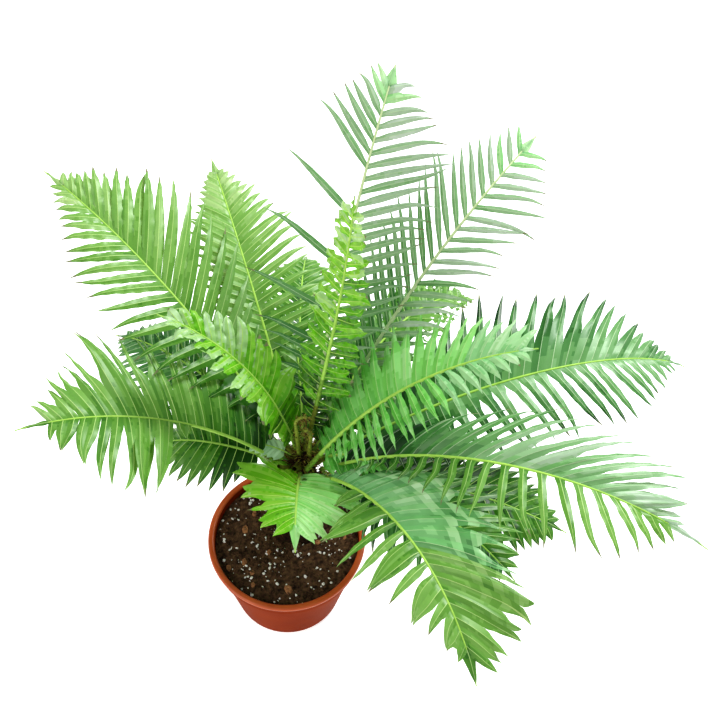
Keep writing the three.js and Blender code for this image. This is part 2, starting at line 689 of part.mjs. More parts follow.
// Middle line and axes of one leaflet, from its root in the rib to its tip
function leafPath(frond, points, share, side, length) {
  const settings = sideOf(frond, side);
  const { along, left, up } = ribAxes(frond, share);
  const fore = radians(foreAngle(settings, share));
  const lift = radians(settings.lift);
  const sideways = left.clone().multiplyScalar(side * Math.cos(lift)).addScaledVector(up, Math.sin(lift));
  const start = along.clone().multiplyScalar(Math.cos(fore)).addScaledVector(sideways, Math.sin(fore));
  const place = pointOnRib(points, share);
  const path = [{ centre: place.clone(), way: start.clone() }];
  for (let step = 0; step < LEAF_STEPS; step += 1) {
    const reach = (step + 0.5) / LEAF_STEPS;
    const way = start.clone().addScaledVector(along, LEAF_SWEEP * reach);
    way.z -= LEAF_FALL * Math.tan(radians(settings.droop)) * reach;
    way.normalize();
    place.addScaledVector(way, length / LEAF_STEPS);
    path.push({ centre: place.clone(), way });
  }
  return { path, along, fore };
}

// Half of the width that keeps a leaflet clear of the next one along the rib, and of the rib itself
function leafHalfWidth(frond, pair, fore, length) {
  const { from, to } = leafRoom(frond, pair);
  const spacing = frond.length * (to - from);
  const widthShare = frond.fused ? FUSED_WIDTH_SHARE : WIDTH_SHARE;
  const beyondRib = length * LEAF_WIDEST_AT * Math.sin(fore) - ribSize(from).halfWidth - CLEARANCE;
  const clearOfRib = beyondRib / Math.max(Math.abs(Math.cos(fore)), 0.1);
  const wanted = Math.min(frond.width, widthShare * spacing * Math.sin(fore)) / 2;
  return Math.max(Math.min(wanted, clearOfRib), LEAF_THICKNESS / 2);
}

// Ring across a leaflet, in the order that continues the ring of its root on the rib's side face
function leafRing(body, node, along, side, halfWidth, halfThickness) {
  const forward = along.clone().addScaledVector(node.way, -along.dot(node.way)).normalize();
  const upward = forward.clone().cross(node.way).multiplyScalar(side);
  const order = side > 0 ? [[-1, -1], [-1, 1], [1, 1], [1, -1]] : [[-1, 1], [-1, -1], [1, -1], [1, 1]];
  const corners = order.map(([onward, over]) => {
    const corner = node.centre.clone();
    corner.addScaledVector(forward, onward * halfWidth);
    corner.addScaledVector(upward, over * halfThickness);
    return corner;
  });
  return addRing(body, corners);
}

// Faces of a leaflet from its root ring out to its tip
function growLeaf(body, rootRing, frond, points, pair, side, length, margin) {
  const share = rootSpan(frond, pair).centre;
  const { path, along, fore } = leafPath(frond, points, share, side, length + margin);
  const middle = path[Math.round(LEAF_WIDEST_AT * LEAF_STEPS)];
  const halfWidth = leafHalfWidth(frond, pair, fore, length) + margin;
  const ring = leafRing(body, middle, along, side, halfWidth, LEAF_THICKNESS / 2 + margin);
  joinRings(body, rootRing, ring);
  const [tip] = addRing(body, [path[LEAF_STEPS].centre]);
  joinRingToPoint(body, ring, tip);
}

// Share of the rib at a number of leaflets from the first one
function leafPlace(frond, number) {
  return lerp(frond.bare, frond.end, (number / frond.pairs) ** (frond.crowd ?? 1));
}

// Stretch of the rib that belongs to one pair of leaflets
function leafRoom(frond, pair) {
  return { from: leafPlace(frond, pair), to: leafPlace(frond, pair + 1) };
}

// Stretch of the rib that the roots of one pair take
function rootSpan(frond, pair) {
  const { from, to } = leafRoom(frond, pair);
  const centre = (from + to) / 2;
  const half = 0.5 * (frond.fused ? 1 : ROOT_SHARE) * (to - from);
  return { start: centre - half, centre, end: centre + half };
}

// A leaflet's length before trimming, or 0 where the rib is bare or the leaflet is lost
function fullLeafLength(frond, pair, side) {
  const settings = sideOf(frond, side);
  const lost = (side > 0 ? frond.lost?.left : frond.lost?.right) ?? [];
  const share = leafShare(settings, rootSpan(frond, pair).centre);
  if (share === 0 || lost.includes(pair)) return 0;
  return Math.max(settings.longest * share, SHORTEST_LEAF);
}

// One closed blade: the rib, the leaflets with a length, and the tail past the last of them.
// lengths holds a [left, right] pair of lengths for each place along the rib, and 0 leaves one out.
function frondGeometry(frond, points, lengths, margin = 0) {
  const body = newBody();
  let previous = addRing(body, ribCorners(frond, points, 0, margin));
  capRing(body, previous, true);
  lengths.forEach(([leftLength, rightLength], pair) => {
    const span = rootSpan(frond, pair);
    let start = previous;
    if (pair === 0 || !frond.fused) {
      start = addRing(body, ribCorners(frond, points, span.start, margin));
      joinRings(body, previous, start);
    }
    const end = addRing(body, ribCorners(frond, points, span.end, margin));
    addQuad(body, start[0], start[1], end[1], end[0]);
    addQuad(body, start[2], start[3], end[3], end[2]);
    const leftRoot = [start[3], start[0], end[0], end[3]];
    const rightRoot = [start[1], start[2], end[2], end[1]];
    if (leftLength > 0) growLeaf(body, leftRoot, frond, points, pair, 1, leftLength, margin);
    else addQuad(body, ...leftRoot);
    if (rightLength > 0) growLeaf(body, rightRoot, frond, points, pair, -1, rightLength, margin);
    else addQuad(body, ...rightRoot);
    previous = end;
  });
  const wideAt = lerp(frond.end, 1, TAIL_WIDEST_AT);
  const tailLength = frond.length * (1 - frond.end);
  const tailHalfWidth = Math.min(TAIL_HALF_WIDTH, TAIL_WIDTH_SHARE * tailLength);
  const wide = addRing(body, ribCorners(frond, points, wideAt, margin, tailHalfWidth));
  joinRings(body, previous, wide);
  const [tip] = addRing(body, [pointOnRib(points, 1)]);
  joinRingToPoint(body, wide, tip);
  return toGeometry(body);
}

// A single leaflet as a solid of its own, grown by margin, to test whether it has room
function leafSolid(frond, points, pair, side, length, margin) {
  const span = rootSpan(frond, pair);
  const start = ribCorners(frond, points, span.start, 0);
  const end = ribCorners(frond, points, span.end, 0);
  const corners = side > 0 ? [start[3], start[0], end[0], end[3]] : [start[1], start[2], end[2], end[1]];
  const body = newBody();
  const root = addRing(body, corners);
  capRing(body, root, true);
  growLeaf(body, root, frond, points, pair, side, length, margin);
  return toSolid(toGeometry(body));
}

function boxesMeet(one, other) {
  for (let axis = 0; axis < 3; axis += 1) {
    if (one.min[axis] > other.max[axis] || one.max[axis] < other.min[axis]) return false;
  }
  return true;
}

function isClear(solid, obstacles) {
  const box = solid.boundingBox();
  for (const obstacle of obstacles) {
    if (!boxesMeet(box, obstacle.box)) continue;
    const shared = solid.intersect(obstacle.solid);
    const empty = shared.isEmpty();
    shared.delete();
    if (!empty) return false;
  }
  return true;
}

function asObstacle(geometry) {
  const solid = toSolid(geometry);
  return { solid, box: solid.boundingBox() };
}

// The longest of a few trimmed lengths at which a leaflet touches nothing, or 0
function clearLeafLength(frond, points, pair, side, obstacles) {
  const full = fullLeafLength(frond, pair, side);
  for (const trim of TRIMS) {
    const length = full * trim;
    if (length < SHORTEST_LEAF) return 0;
    const leaf = leafSolid(frond, points, pair, side, length, CLEARANCE);
    const clear = isClear(leaf, obstacles);
    leaf.delete();
    if (clear) return length;
  }
  return 0;
}

// All the ribs stand first. Then each frond in turn grows the leaflets that have room among what stands.
function makeFronds(standing) {
  const ribs = FRONDS.map((frond) => {
    const points = ribPoints(frond);
    const noLeaves = Array.from({ length: frond.pairs }, () => [0, 0]);
    return { points, obstacle: asObstacle(frondGeometry(frond, points, noLeaves)) };
  });
  const obstacles = standing.map((mesh) => asObstacle(mesh.geometry));
  return FRONDS.map((frond, index) => {
    const { points } = ribs[index];
    const others = ribs.filter((rib, other) => other !== index).map((rib) => rib.obstacle);
    const around = [...obstacles, ...others];
    const lengths = [];
    for (let pair = 0; pair < frond.pairs; pair += 1) {
      lengths.push([1, -1].map((side) => clearLeafLength(frond, points, pair, side, around)));
    }
    const geometry = frondGeometry(frond, points, lengths);
    ribs[index].obstacle = asObstacle(geometry);
    return toMesh(frond.name, geometry, frond.colour, 0.55);
  });
}

const fern = new THREE.Group();
fern.add(makePot(), makeSoil(), makeTrunk());
COILS.forEach((coil) => fern.add(makeCoil(coil)));
fern.add(...makeFronds([...fern.children]));

export default fern;
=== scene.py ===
# Looks of a potted dwarf tree fern: a terracotta coloured plastic pot, peat mix with white perlite, a short
# trunk under old frond bases, two coiled young fronds, and 22 fronds with two rows of leaflets each.
# Sizes are in millimetres, and new_piece turns them into the frame's metres.

import math

import bpy
import numpy as np
from mathutils import Matrix, Vector, noise


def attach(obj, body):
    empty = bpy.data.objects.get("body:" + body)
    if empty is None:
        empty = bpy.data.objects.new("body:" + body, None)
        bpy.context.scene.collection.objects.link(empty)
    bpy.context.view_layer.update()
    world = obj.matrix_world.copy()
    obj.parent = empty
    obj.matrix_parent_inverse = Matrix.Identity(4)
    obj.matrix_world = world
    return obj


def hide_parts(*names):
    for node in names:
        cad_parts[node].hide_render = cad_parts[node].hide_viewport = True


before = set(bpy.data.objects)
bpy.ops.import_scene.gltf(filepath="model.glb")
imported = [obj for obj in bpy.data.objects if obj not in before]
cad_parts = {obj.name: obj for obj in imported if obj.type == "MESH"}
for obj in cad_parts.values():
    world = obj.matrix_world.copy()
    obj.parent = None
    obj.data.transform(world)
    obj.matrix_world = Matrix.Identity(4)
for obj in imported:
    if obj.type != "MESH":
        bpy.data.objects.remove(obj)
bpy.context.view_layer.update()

MM = 0.001
SEED = 7

# Pot and potting mix
POT_HEIGHT = 122
RIM_RADIUS = 85
LIP_WIDTH = 7
LIP_HEIGHT = 5
INNER_RADIUS = RIM_RADIUS - LIP_WIDTH
COLLAR_HEIGHT = 17
COLLAR_RADIUS = 82.5
BODY_TOP_RADIUS = 79
BASE_RADIUS = 61.5
WALL = 2.4
FLOOR_THICKNESS = 4
SOIL_TOP = 113

# Trunk, with the angle in radians from one old frond base to the next, how far up a frond's foot scales
# sit, and how long a frond is at least that has them
TRUNK_FOOT = np.array([8.0, 20.0])
CROWN = np.array([16.0, 30.0])
TRUNK_TOP = 250
FLARE_RADIUS = 25
TRUNK_RADIUS = 14.5
TRUNK_TIP_RADIUS = 4
OLD_BASE_TURN = 2.4
SCALY_FOOT = 26
SHORTEST_SCALY_FROND = 60

# What all the fronds share: how late along the rib the arch comes, into how many steps ribs and leaflets
# are cut, how far leaflets turn to the frond's tip and fall, from which share of the rib on and over what
# share their angle to it changes, how far the two leaflets of a clump are joined, and where the middle of
# the crown is, with the distance within which the painted shade of the crown is darkest on leaflets. STRAY
# is how far leaflets stray where unrest is 1: angles in degrees, and the turn and drop of their tips as
# slopes.
ARCH_POWER = 1.4
RIB_STEPS = 90
RIB_SIDES = 10
LEAF_SECTIONS = 20
LEAF_SWEEP = 0.25
LEAF_FALL = 1.2
FORE_FROM = 0.5
FORE_SPAN = 0.35
SHORTEST_LEAF = 9
FULLEST_WEB = 0.88
BLADE_STRIPS = 6
MIDRIB_STRIPS = slice(2, 4)
MIDRIB_HALF_WIDTH = (0.38, 0.14)
DRY_SECTIONS = 2
CROWN_HEIGHT = 245
CROWN_SHADE_CORE = 25
STRAY = {"fore": 1.2, "lift": 2.5, "droop": 3.0, "tip_turn": 0.12, "tip_drop": 0.15, "twist": 6}

# Greens of the leaflets, from shaded to pale, as sRGB hex values
GREENS = {
    "lime": ["#163605", "#2C5A08", "#42780E", "#52960A", "#64AC14", "#7CB638", "#98C07C", "#A8C898"],
    "grass": ["#18440A", "#306616", "#487C28", "#5D8E3A", "#6E9C4C", "#7EA660", "#92B278", "#A5BC92"],
    "blue": ["#143E18", "#2C6226", "#487C42", "#609056", "#74A06C", "#88AA82", "#9AB298", "#AEBEB0"],
    "mint": ["#123F1A", "#2A622E", "#447F46", "#5A965A", "#6CA86C", "#80B87E", "#98C694", "#AED2AA"],
    "spring": ["#124A0A", "#2A681C", "#3E842E", "#509C3A", "#60AE48", "#74BC5C", "#88C876", "#9ED08E"],
}

GREEN_STEPS = len(GREENS["lime"])

# Green of each family's midribs
MIDRIBS = {"lime": "#A8CC62", "grass": "#A2C27C", "blue": "#A4BE98", "mint": "#A4C898", "spring": "#A2CC84"}

# What a frond has where its own row, or the row of its side, says nothing else.
# Where leaflets are: bare and end are the shares of the rib where they begin and stop, and full and narrow
# those where they are longest and where they begin to shorten. first and last are the shares of the
# longest leaflet that the first and last have, and width is how wide leaflets are. A crowd under 1 draws
# them together towards the tip, and lost lists those that the left side has lost. lift is how far they
# stand above the rib's sides and droop how far they hang, in degrees.
# Colours: tint is the family of greens and shades the places in it at the frond's foot and tip. crown_shade
# is how much darker a leaflet is painted in the crown, a painted shade, and crown_shade_reach how far from
# the crown that goes, mottle how much leaflets differ, base how much darker each is at its own foot, a
# painted shade near the rib, and end_sheen how much lighter at its end, a painted sheen; where these two
# are negative, the foot is painted lighter as a highlight and the end darker. shadow_bands holds the
# strength and count of painted stripes of shadow and sheen across it. tip_tint, where it is given, is the
# family beyond about tip_from of the rib. dry is the share of leaflets with a dry tip.
# Outline: root is the share of the rib between neighbours that a leaflet's root takes, neck how wide it is
# there, belly where it is widest, and taper how full its tip is. web is how far its edges stay joined to
# its neighbours', web_foot how much further near the frond's foot, web_tip how far near the frond's tip,
# from web_from of the rib on, and web_spread how much that differs. split is the share of gaps that are
# open to the rib, clump the chance that a leaflet grows together with the one before, and gather how far
# their tips then meet. tail is half the width of the blade that ends the frond.
# Shape: rib is half the rib's width at its foot and tip, stalk its finish, and brown the share of it that
# is brown. twist turns the leaflet's face up, in degrees, fold is how far its midrib stands above its
# edges, ripple and wave are the height and length of its edges' waves, sway is an S-bend at the frond's
# foot and sway_tip at its tip, tip_turn a turn of its end towards the frond's tip, tip_drop a fall of its
# end, and unrest how much leaflets differ in all of these.
USUAL = dict(
    bare=0.1, full=0.4, narrow=0.6, end=0.9, first=0.4, last=0.2, width=10, crowd=1, lost=[], lift=20,
    droop=22, tint="grass", tip_from=0.93, shades=(3, 4), crown_shade=2.2, crown_shade_reach=130, mottle=0.45,
    base=0.8, end_sheen=0.5, shadow_bands=(0, 2), root=1, neck=0.8, belly=0.3, taper=1.7, web=0.02, web_foot=0,
    web_tip=0.5, web_from=0.72, web_spread=0.02, split=0, clump=0, gather=0.85, twist=0, fold=0.22,
    ripple=0.5, wave=17, sway=0, sway_tip=0, tip_turn=0, tip_drop=0.25, unrest=1, dry=0.3, tail=3.2,
    rib=(1.9, 0.6), stalk="rib", brown=0,
)

# The fronds, as the CAD model grows them. azimuth is counter-clockwise from +X, rise the rib's first
# slope, arch how far it bends down by its tip, and sweep how far it turns sideways, in degrees. seat is
# the azimuth of its foot in the crown where that isn't the frond's own, and height and reach say how high
# and how far from the crown's middle that foot is. pairs is how many leaflets there are on each side, and
# longest the length of the longest. fore_foot, fore and fore_tip are a leaflet's angles to the rib at the
# frond's foot, at half its length and near its tip. material is the record's slot.
FRONDS = [
    # Its left side's pale greens are a painted sheen, and its right side's saturated lime is painted light
    # shining through it
    dict(USUAL, name="frond_front_short", material="young_leaf", azimuth=268, rise=34, arch=76, sweep=8,
         length=96, height=238, reach=17, seat=263, pairs=13, bare=0.02, full=0.1, narrow=0.3, end=0.72,
         first=0.85, last=0.3, width=11, web=0.6, web_tip=0.42, web_spread=0.1, clump=0.5, gather=0.45,
         ripple=0.6, tail=6, crown_shade=0, dry=0.1, base=0.3, unrest=1.6,
         left=dict(longest=78, fore_foot=92, fore=58, fore_tip=40, lift=8, droop=20, tint="spring",
                   shades=(6, 6.6)),
         right=dict(longest=68, fore_foot=162, fore=74, fore_tip=48, lift=12, droop=16, tint="lime",
                    shades=(4.1, 4.6))),
    dict(USUAL, name="frond_left_low", material="leaf", azimuth=187, rise=54, arch=63, sweep=12,
         length=288, height=228, reach=20, pairs=25, bare=0.06, full=0.36, narrow=0.64, last=0.16,
         width=8, web=0.36, web_tip=0.56, web_spread=0.1, clump=0.12, taper=1.4, web_foot=0.3,
         split=0.12, tail=2.6, shadow_bands=(0.4, 2), unrest=1.8,
         left=dict(longest=88, fore=84, fore_tip=76, lift=14, droop=27, bare=0.48, full=0.52,
                   shades=(2.9, 3.4), web=0.2, width=10, clump=0.4, unrest=2.6, taper=2),
         right=dict(longest=102, fore=68, fore_tip=58, last=0.22, shades=(2.4, 4.2))),
    dict(USUAL, name="frond_left_high", material="leaf", azimuth=145, rise=50, arch=48, sweep=-2,
         length=381, height=236, reach=16, pairs=22, crowd=0.85, bare=0.12, full=0.42, end=0.94,
         first=0.3, last=0.14, width=12, ripple=1, wave=15, shades=(3.2, 5.2), dry=0.8, crown_shade=1,
         web_foot=0.4,
         left=dict(longest=82, fore=66, fore_tip=50, droop=25, width=10, shades=(0.6, 5.6)),
         right=dict(longest=115, fore=52, fore_tip=40)),
    dict(USUAL, name="frond_back_left", material="leaf", azimuth=118, rise=52, arch=62, sweep=-8,
         length=332, height=238, reach=16, pairs=27, bare=0.12, narrow=0.62, end=0.93, first=0.3,
         last=0.16, width=8.8, web_tip=0.82, web_from=0.5, shades=(2.4, 6), tail=4, dry=0.1,
         web_foot=0.3, droop=25,
         left=dict(longest=62, fore=58, fore_tip=50, web=0.55),
         right=dict(longest=72, fore=72, fore_tip=54, web=0.12, web_tip=0.6)),
    dict(USUAL, name="frond_right_front", material="young_leaf", azimuth=16.5, rise=63, arch=38,
         sweep=-23, length=299, height=239, reach=13, seat=288, pairs=22, bare=0.12, end=0.95,
         first=0.35, last=0.28, ripple=0.6, wave=13, tint="spring", crown_shade=1, dry=0.1, shadow_bands=(0.7, 3),
         rib=(2.6, 0.6), tip_tint="mint",
         left=dict(longest=74, fore=76, fore_tip=52, last=0.4, tip_from=0.76, shades=(4.7, 6.4),
                   web=0.34, web_tip=0.6, web_spread=0.08),
         right=dict(longest=60, fore=66, fore_tip=44, lift=14, droop=27, width=8.6, tip_from=0.62,
                    shades=(5, 6), belly=0.45, neck=0.5, root=0.6)),
    dict(USUAL, name="frond_top", material="blue_leaf", azimuth=73, rise=72, arch=36, sweep=1,
         length=392, height=245, reach=14, pairs=27, bare=0.15, narrow=0.76, end=0.96, first=0.35,
         last=0.26, width=7.2, tint="blue", shades=(3.4, 6.6), ripple=0.4, web_tip=0.8, web_from=0.88,
         root=0.5, neck=0.7, tail=6.5, dry=0.7, rib=(2.6, 0.9), stalk="rib_pale", tip_tint="mint",
         tip_from=0.9, lost=[6, 7, 9, 10, 11, 13, 14, 15, 17, 18, 19],
         left=dict(longest=92, fore=60, fore_tip=44, lift=24, droop=18, narrow=0.7, last=0.25,
                   shades=(1.2, 6)),
         right=dict(longest=84, fore=56, fore_tip=66)),
    dict(USUAL, name="frond_right_high", material="blue_leaf", azimuth=42, rise=64, arch=39, sweep=4,
         length=386, height=240, reach=17, pairs=25, bare=0.15, narrow=0.78, end=0.96, first=0.35,
         last=0.3, width=6.2, tint="blue", ripple=0.3, web_tip=0.8, web_from=0.92, tail=5.5, dry=0.95,
         root=0.45, neck=0.7, rib=(2.6, 0.9), stalk="rib_pale", tip_tint="mint", tip_from=0.92,
         left=dict(longest=100, fore=42, fore_tip=46, narrow=0.64, last=0.26, shades=(1.4, 6)),
         right=dict(longest=74, fore=51, fore_tip=66, shades=(4.4, 6.2))),
    dict(USUAL, name="frond_right_far", material="old_leaf", azimuth=12, rise=40, arch=84, sweep=12,
         length=434, height=234, reach=19, pairs=25, full=0.42, narrow=0.62, end=0.93, first=0.25,
         last=0.14, tint="blue", shades=(0.9, 2.6), tail=2.6, dry=0.5, shadow_bands=(0.5, 2), mottle=0.6,
         base=-1, end_sheen=-0.9,
         left=dict(longest=106, fore=69, fore_tip=44, web=0.3, web_foot=0.3, web_spread=0.12, end_sheen=-1.4),
         right=dict(longest=78, fore=76, fore_tip=60, lift=4, droop=28, narrow=0.68, first=0.55,
                    width=8.8, unrest=1.6, web=0.06, web_foot=0.6, shades=(0.6, 3.9))),
    dict(USUAL, name="frond_right_low", material="blue_leaf", azimuth=340, rise=52, arch=85, sweep=3,
         length=422, height=231, reach=19, pairs=22, bare=0.06, full=0.46, narrow=0.68, first=0.22,
         last=0.14, width=8.2, web_tip=0.35, tail=3.4, dry=0.6,
         left=dict(longest=112, fore=38, fore_tip=27, first=0.34, tint="blue", shades=(3, 6.1),
                   end_sheen=-0.4, taper=1.9, belly=0.42, width=7.8, web=0.26, web_foot=0.4, web_tip=0.22,
                   web_spread=0.1, crown_shade=4.6, crown_shade_reach=280, clump=0.1),
         right=dict(longest=76, fore=86, fore_tip=46, lift=12, droop=28, bare=0.14, full=0.68,
                    narrow=0.69, last=0.2, shades=(2.2, 3.8), sway=0.9, root=0.6, neck=0.6, crown_shade=1.8,
                    crown_shade_reach=200, unrest=1.6)),
    # The pale mint of its left side towards the foot is a painted sheen
    dict(USUAL, name="frond_bottom", material="leaf", azimuth=319, rise=46, arch=88, sweep=-27,
         length=309, height=229, reach=19, pairs=20, bare=0.06, narrow=0.64, first=0.35, width=12,
         tail=6, crown_shade=0.6, dry=0.15,
         left=dict(longest=102, fore=47, fore_tip=38, droop=20, last=0.3, web=0.56, web_spread=0.1,
                   tint="mint", tip_tint="grass", tip_from=0.55, shades=(5.8, 3.3), clump=0.3,
                   gather=0.35, shadow_bands=(1.6, 4.6), unrest=1.6),
         right=dict(longest=68, fore=88, fore_tip=54, lift=10, bare=0.24, narrow=0.52, shades=(3, 3.8),
                    sway=0.25, root=0.5, neck=0.55, width=10.4, web_tip=0.7, web_from=0.58, unrest=2,
                    clump=0.45, gather=0.8)),
    dict(USUAL, name="frond_upright_young", material="young_leaf", azimuth=54, rise=76, arch=-12,
         sweep=-19, length=333, height=254, reach=3, pairs=25, full=0.3, narrow=0.55, end=0.95,
         first=0.5, last=0.5, width=8.8, tint="lime", shades=(1.2, 6.6), taper=2.6, belly=0.5, neck=0.5,
         ripple=1.7, wave=11, unrest=3.6, tip_drop=0.2, tip_turn=0.3, twist=-15, dry=0.15, fold=0.2,
         crown_shade=2.1, mottle=0.8, web_tip=0.02, root=0.6, rib=(2.6, 0.6), brown=0.2, droop=5,
         left=dict(longest=30, fore=66, fore_tip=62, lift=25),
         right=dict(longest=32, fore=70, fore_tip=64, lift=-16)),
    dict(USUAL, name="frond_left_young", material="young_leaf", azimuth=154, rise=76, arch=54, sweep=23,
         length=226, height=249, reach=9, pairs=16, full=0.3, end=0.93, first=0.5, last=0.35, width=10.5,
         tint="lime", shades=(2.8, 6.8), taper=2.6, belly=0.5, ripple=1.4, wave=12, unrest=3.4,
         twist=-20, dry=0.1, crown_shade=0.6, clump=0.2, mottle=0.9, web_tip=0.1, web_foot=0.6, lift=15,
         left=dict(longest=40, fore=66, fore_tip=48, droop=15),
         right=dict(longest=44, fore=56, fore_tip=44, droop=10)),
    dict(USUAL, name="frond_under_right", material="old_leaf", azimuth=339, rise=34, arch=58, sweep=-22,
         length=240, height=220, reach=20, pairs=18, bare=0.08, full=0.36, end=0.92, first=0.35,
         width=11, shades=(0, 2.9), dry=0.6, clump=0.2, web=0.25,
         left=dict(longest=84, fore=56, fore_tip=42, lift=10),
         right=dict(longest=70, fore=66, fore_tip=44, lift=0, tint="blue")),
    dict(USUAL, name="frond_back_right", material="leaf", azimuth=62, rise=40, arch=95, sweep=-20,
         length=296, height=234, reach=17, pairs=21, bare=0.14, end=0.94, last=0.3, width=14,
         shades=(0.4, 3.8), ripple=2.2, wave=8, unrest=2.6, twist=-20, web=0.4, longest=50, fore=62,
         fore_tip=50, lift=15, droop=20),
    dict(USUAL, name="frond_under_left", material="old_leaf", azimuth=146, rise=32, arch=66, sweep=5,
         length=246, height=227, reach=20, pairs=17, bare=0.16, narrow=0.62, end=0.92, tint="blue",
         shades=(0.6, 2.8), web_foot=0.5, longest=66,
         left=dict(fore=62, fore_tip=48, lift=5),
         right=dict(fore=56, fore_tip=44, lift=10)),
    dict(USUAL, name="frond_back", material="old_leaf", azimuth=99, rise=38, arch=78, sweep=-10,
         length=258, height=230, reach=19, pairs=18, bare=0.16, full=0.42, narrow=0.62, end=0.93,
         width=9.5, shades=(0.8, 3.2), longest=64, fore=60, fore_tip=48, lift=10),
    dict(USUAL, name="frond_low_left_short", material="old_leaf", azimuth=175, rise=26, arch=78,
         sweep=-8, length=150, height=222, reach=20, pairs=12, bare=0.2, first=0.5, last=0.25, width=13,
         shades=(0.8, 2.8), web=0.4,
         left=dict(longest=52, fore=78, fore_tip=50, lift=0, droop=28),
         right=dict(longest=50, fore=66, fore_tip=46, lift=5)),
    dict(USUAL, name="frond_low_right", material="old_leaf", azimuth=354, rise=18, arch=36, sweep=-13,
         length=258, height=214, reach=19, pairs=18, bare=0.18, full=0.42, narrow=0.62, end=0.92,
         last=0.25, width=14, shades=(0, 1.8), web=0.4, web_foot=0.4, fore_tip=46,
         left=dict(longest=70, fore=60, lift=5),
         right=dict(longest=72, fore=62, lift=0, droop=26)),
    dict(USUAL, name="frond_inner_front_left", material="blue_leaf", azimuth=176, rise=36, arch=50,
         sweep=0, length=48, height=244, reach=13, pairs=5, bare=0.16, full=0.3, narrow=0.5, end=0.8,
         first=0.95, last=0.8, tint="mint", shades=(7, 7), web=0.75, web_tip=0.8, base=0, crown_shade=0, dry=0,
         tail=4, rib=(0.9, 0.5), fore=58, fore_tip=50, lift=0,
         left=dict(longest=15, droop=20),
         right=dict(longest=14, droop=16)),
    dict(USUAL, name="frond_inner_front_right", material="young_leaf", azimuth=357, rise=36, arch=52,
         sweep=-8, length=88, height=242, reach=15, pairs=9, bare=0.08, full=0.3, narrow=0.5, first=0.8,
         last=0.4, width=14, tint="spring", shades=(3.6, 4.6), web=0.6, web_spread=0.15, crown_shade=0.2,
         ripple=0.9, wave=10, longest=30, fore=60, fore_tip=48,
         left=dict(lift=16, droop=18),
         right=dict(lift=6)),
    dict(USUAL, name="frond_inner_right", material="old_leaf", azimuth=22, rise=66, arch=50, sweep=-4,
         length=118, height=250, reach=10, pairs=9, full=0.35, narrow=0.55, end=0.92, first=0.5,
         last=0.35, width=12, shades=(1.6, 3.2), web=0.5, ripple=0.9, wave=10, twist=-20, crown_shade=0.6,
         longest=40, fore=60, fore_tip=46, lift=12, droop=18),
    dict(USUAL, name="frond_inner_back", material="old_leaf", azimuth=98, rise=64, arch=48, sweep=4,
         length=112, height=249, reach=8, pairs=9, full=0.35, narrow=0.55, end=0.92, first=0.5,
         last=0.35, width=12, shades=(2, 3.6), web=0.5, ripple=0.9, wave=10, twist=-20, crown_shade=0.4,
         longest=38, fore=60, fore_tip=46, lift=12, droop=18),
]


# Small sums

def lerp(low, high, share):
    return low + (high - low) * share


def smoothstep(value, low, high):
    share = np.clip((value - low) / (high - low), 0, 1)
    return share * share * (3 - 2 * share)


def around(count):
    """Angles of that many places around a circle."""
    return 2 * math.pi * np.arange(count) / count


def outward(angle):
    """The level way at that angle, counter-clockwise from +X."""
    return np.array([math.cos(angle), math.sin(angle), 0])


def unit(vectors):
    return vectors / np.linalg.norm(vectors, axis=-1, keepdims=True)


def squared(vectors, ways):
    """Unit vectors of what is left of the vectors at right angles to the ways."""
    return unit(vectors - np.sum(vectors * ways, -1, keepdims=True) * ways)


def linear(text):
    """An sRGB hex colour as linear red, green, blue and an alpha of 1."""
    parts = [int(text[start:start + 2], 16) / 255 for start in (1, 3, 5)]
    return [c / 12.92 if c <= 0.04045 else ((c + 0.055) / 1.055) ** 2.4 for c in parts] + [1.0]


# Materials

def add_node(tree, kind, inputs=None, **settings):
    """A shader node with its settings, and its inputs set to values or linked to sockets."""
    node = tree.nodes.new("ShaderNode" + kind)
    for name, value in settings.items():
        setattr(node, name, value)
    for name, value in (inputs or {}).items():
        if isinstance(value, bpy.types.NodeSocket):
            tree.links.new(value, node.inputs[name])
        else:
            node.inputs[name].default_value = value
    return node


def new_material(name):
    material = bpy.data.materials.new(name)
    material.use_nodes = True
    material.node_tree.nodes.clear()
    return material, material.node_tree


def blotches(tree, size, detail):
    """A soft pattern of blotches of that size in millimetres, which runs from 0 to 1."""
    place = add_node(tree, "TexCoord").outputs["Object"]
    pattern = add_node(tree, "TexNoise", {"Vector": place, "Scale": 1 / (size * MM), "Detail": detail})
    spread = add_node(tree, "MapRange", {
        "Value": pattern.outputs["Factor" if "Factor" in pattern.outputs else "Fac"],
        "From Min": 0.3, "From Max": 0.7,
    })
    return spread.outputs["Result"]


def blotched_colour(tree, size, first, second, detail=3.0):
    """Soft blotches of that size in millimetres between two colours."""
    mix = add_node(tree, "Mix", {0: blotches(tree, size, detail), 6: first, 7: second}, data_type="RGBA")
    return mix.outputs[2]


# Fern leaflet: a thin waxy blade that shines softly and glows where light comes through it. Its cells and
# side veins are too fine to show, so blotches of 11 mm stand for the unevenness that they give.
def leaf_material(name, colour, glow_share=0.2, warmth=1.0):
    material, tree = new_material(name)
    base = linear(colour)
    deeper = [base[0] * 0.84, base[1] * 0.9, base[2] * 0.84, 1]
    surface = add_node(tree, "BsdfPrincipled", {
        "Base Color": blotched_colour(tree, 11, base, deeper),
        "Roughness": 0.4, "IOR": 1.45, "Specular IOR Level": 0.55,
    })
    through = [base[0] * (1 + 0.35 * warmth), base[1] * (1 + 0.2 * warmth), base[2] * (1 - 0.3 * warmth), 1]
    glow = add_node(tree, "BsdfTranslucent", {"Color": through})
    both = add_node(tree, "MixShader", {
        0: glow_share, 1: surface.outputs["BSDF"], 2: glow.outputs["BSDF"],
    })
    add_node(tree, "OutputMaterial", {"Surface": both.outputs["Shader"]})
    return material


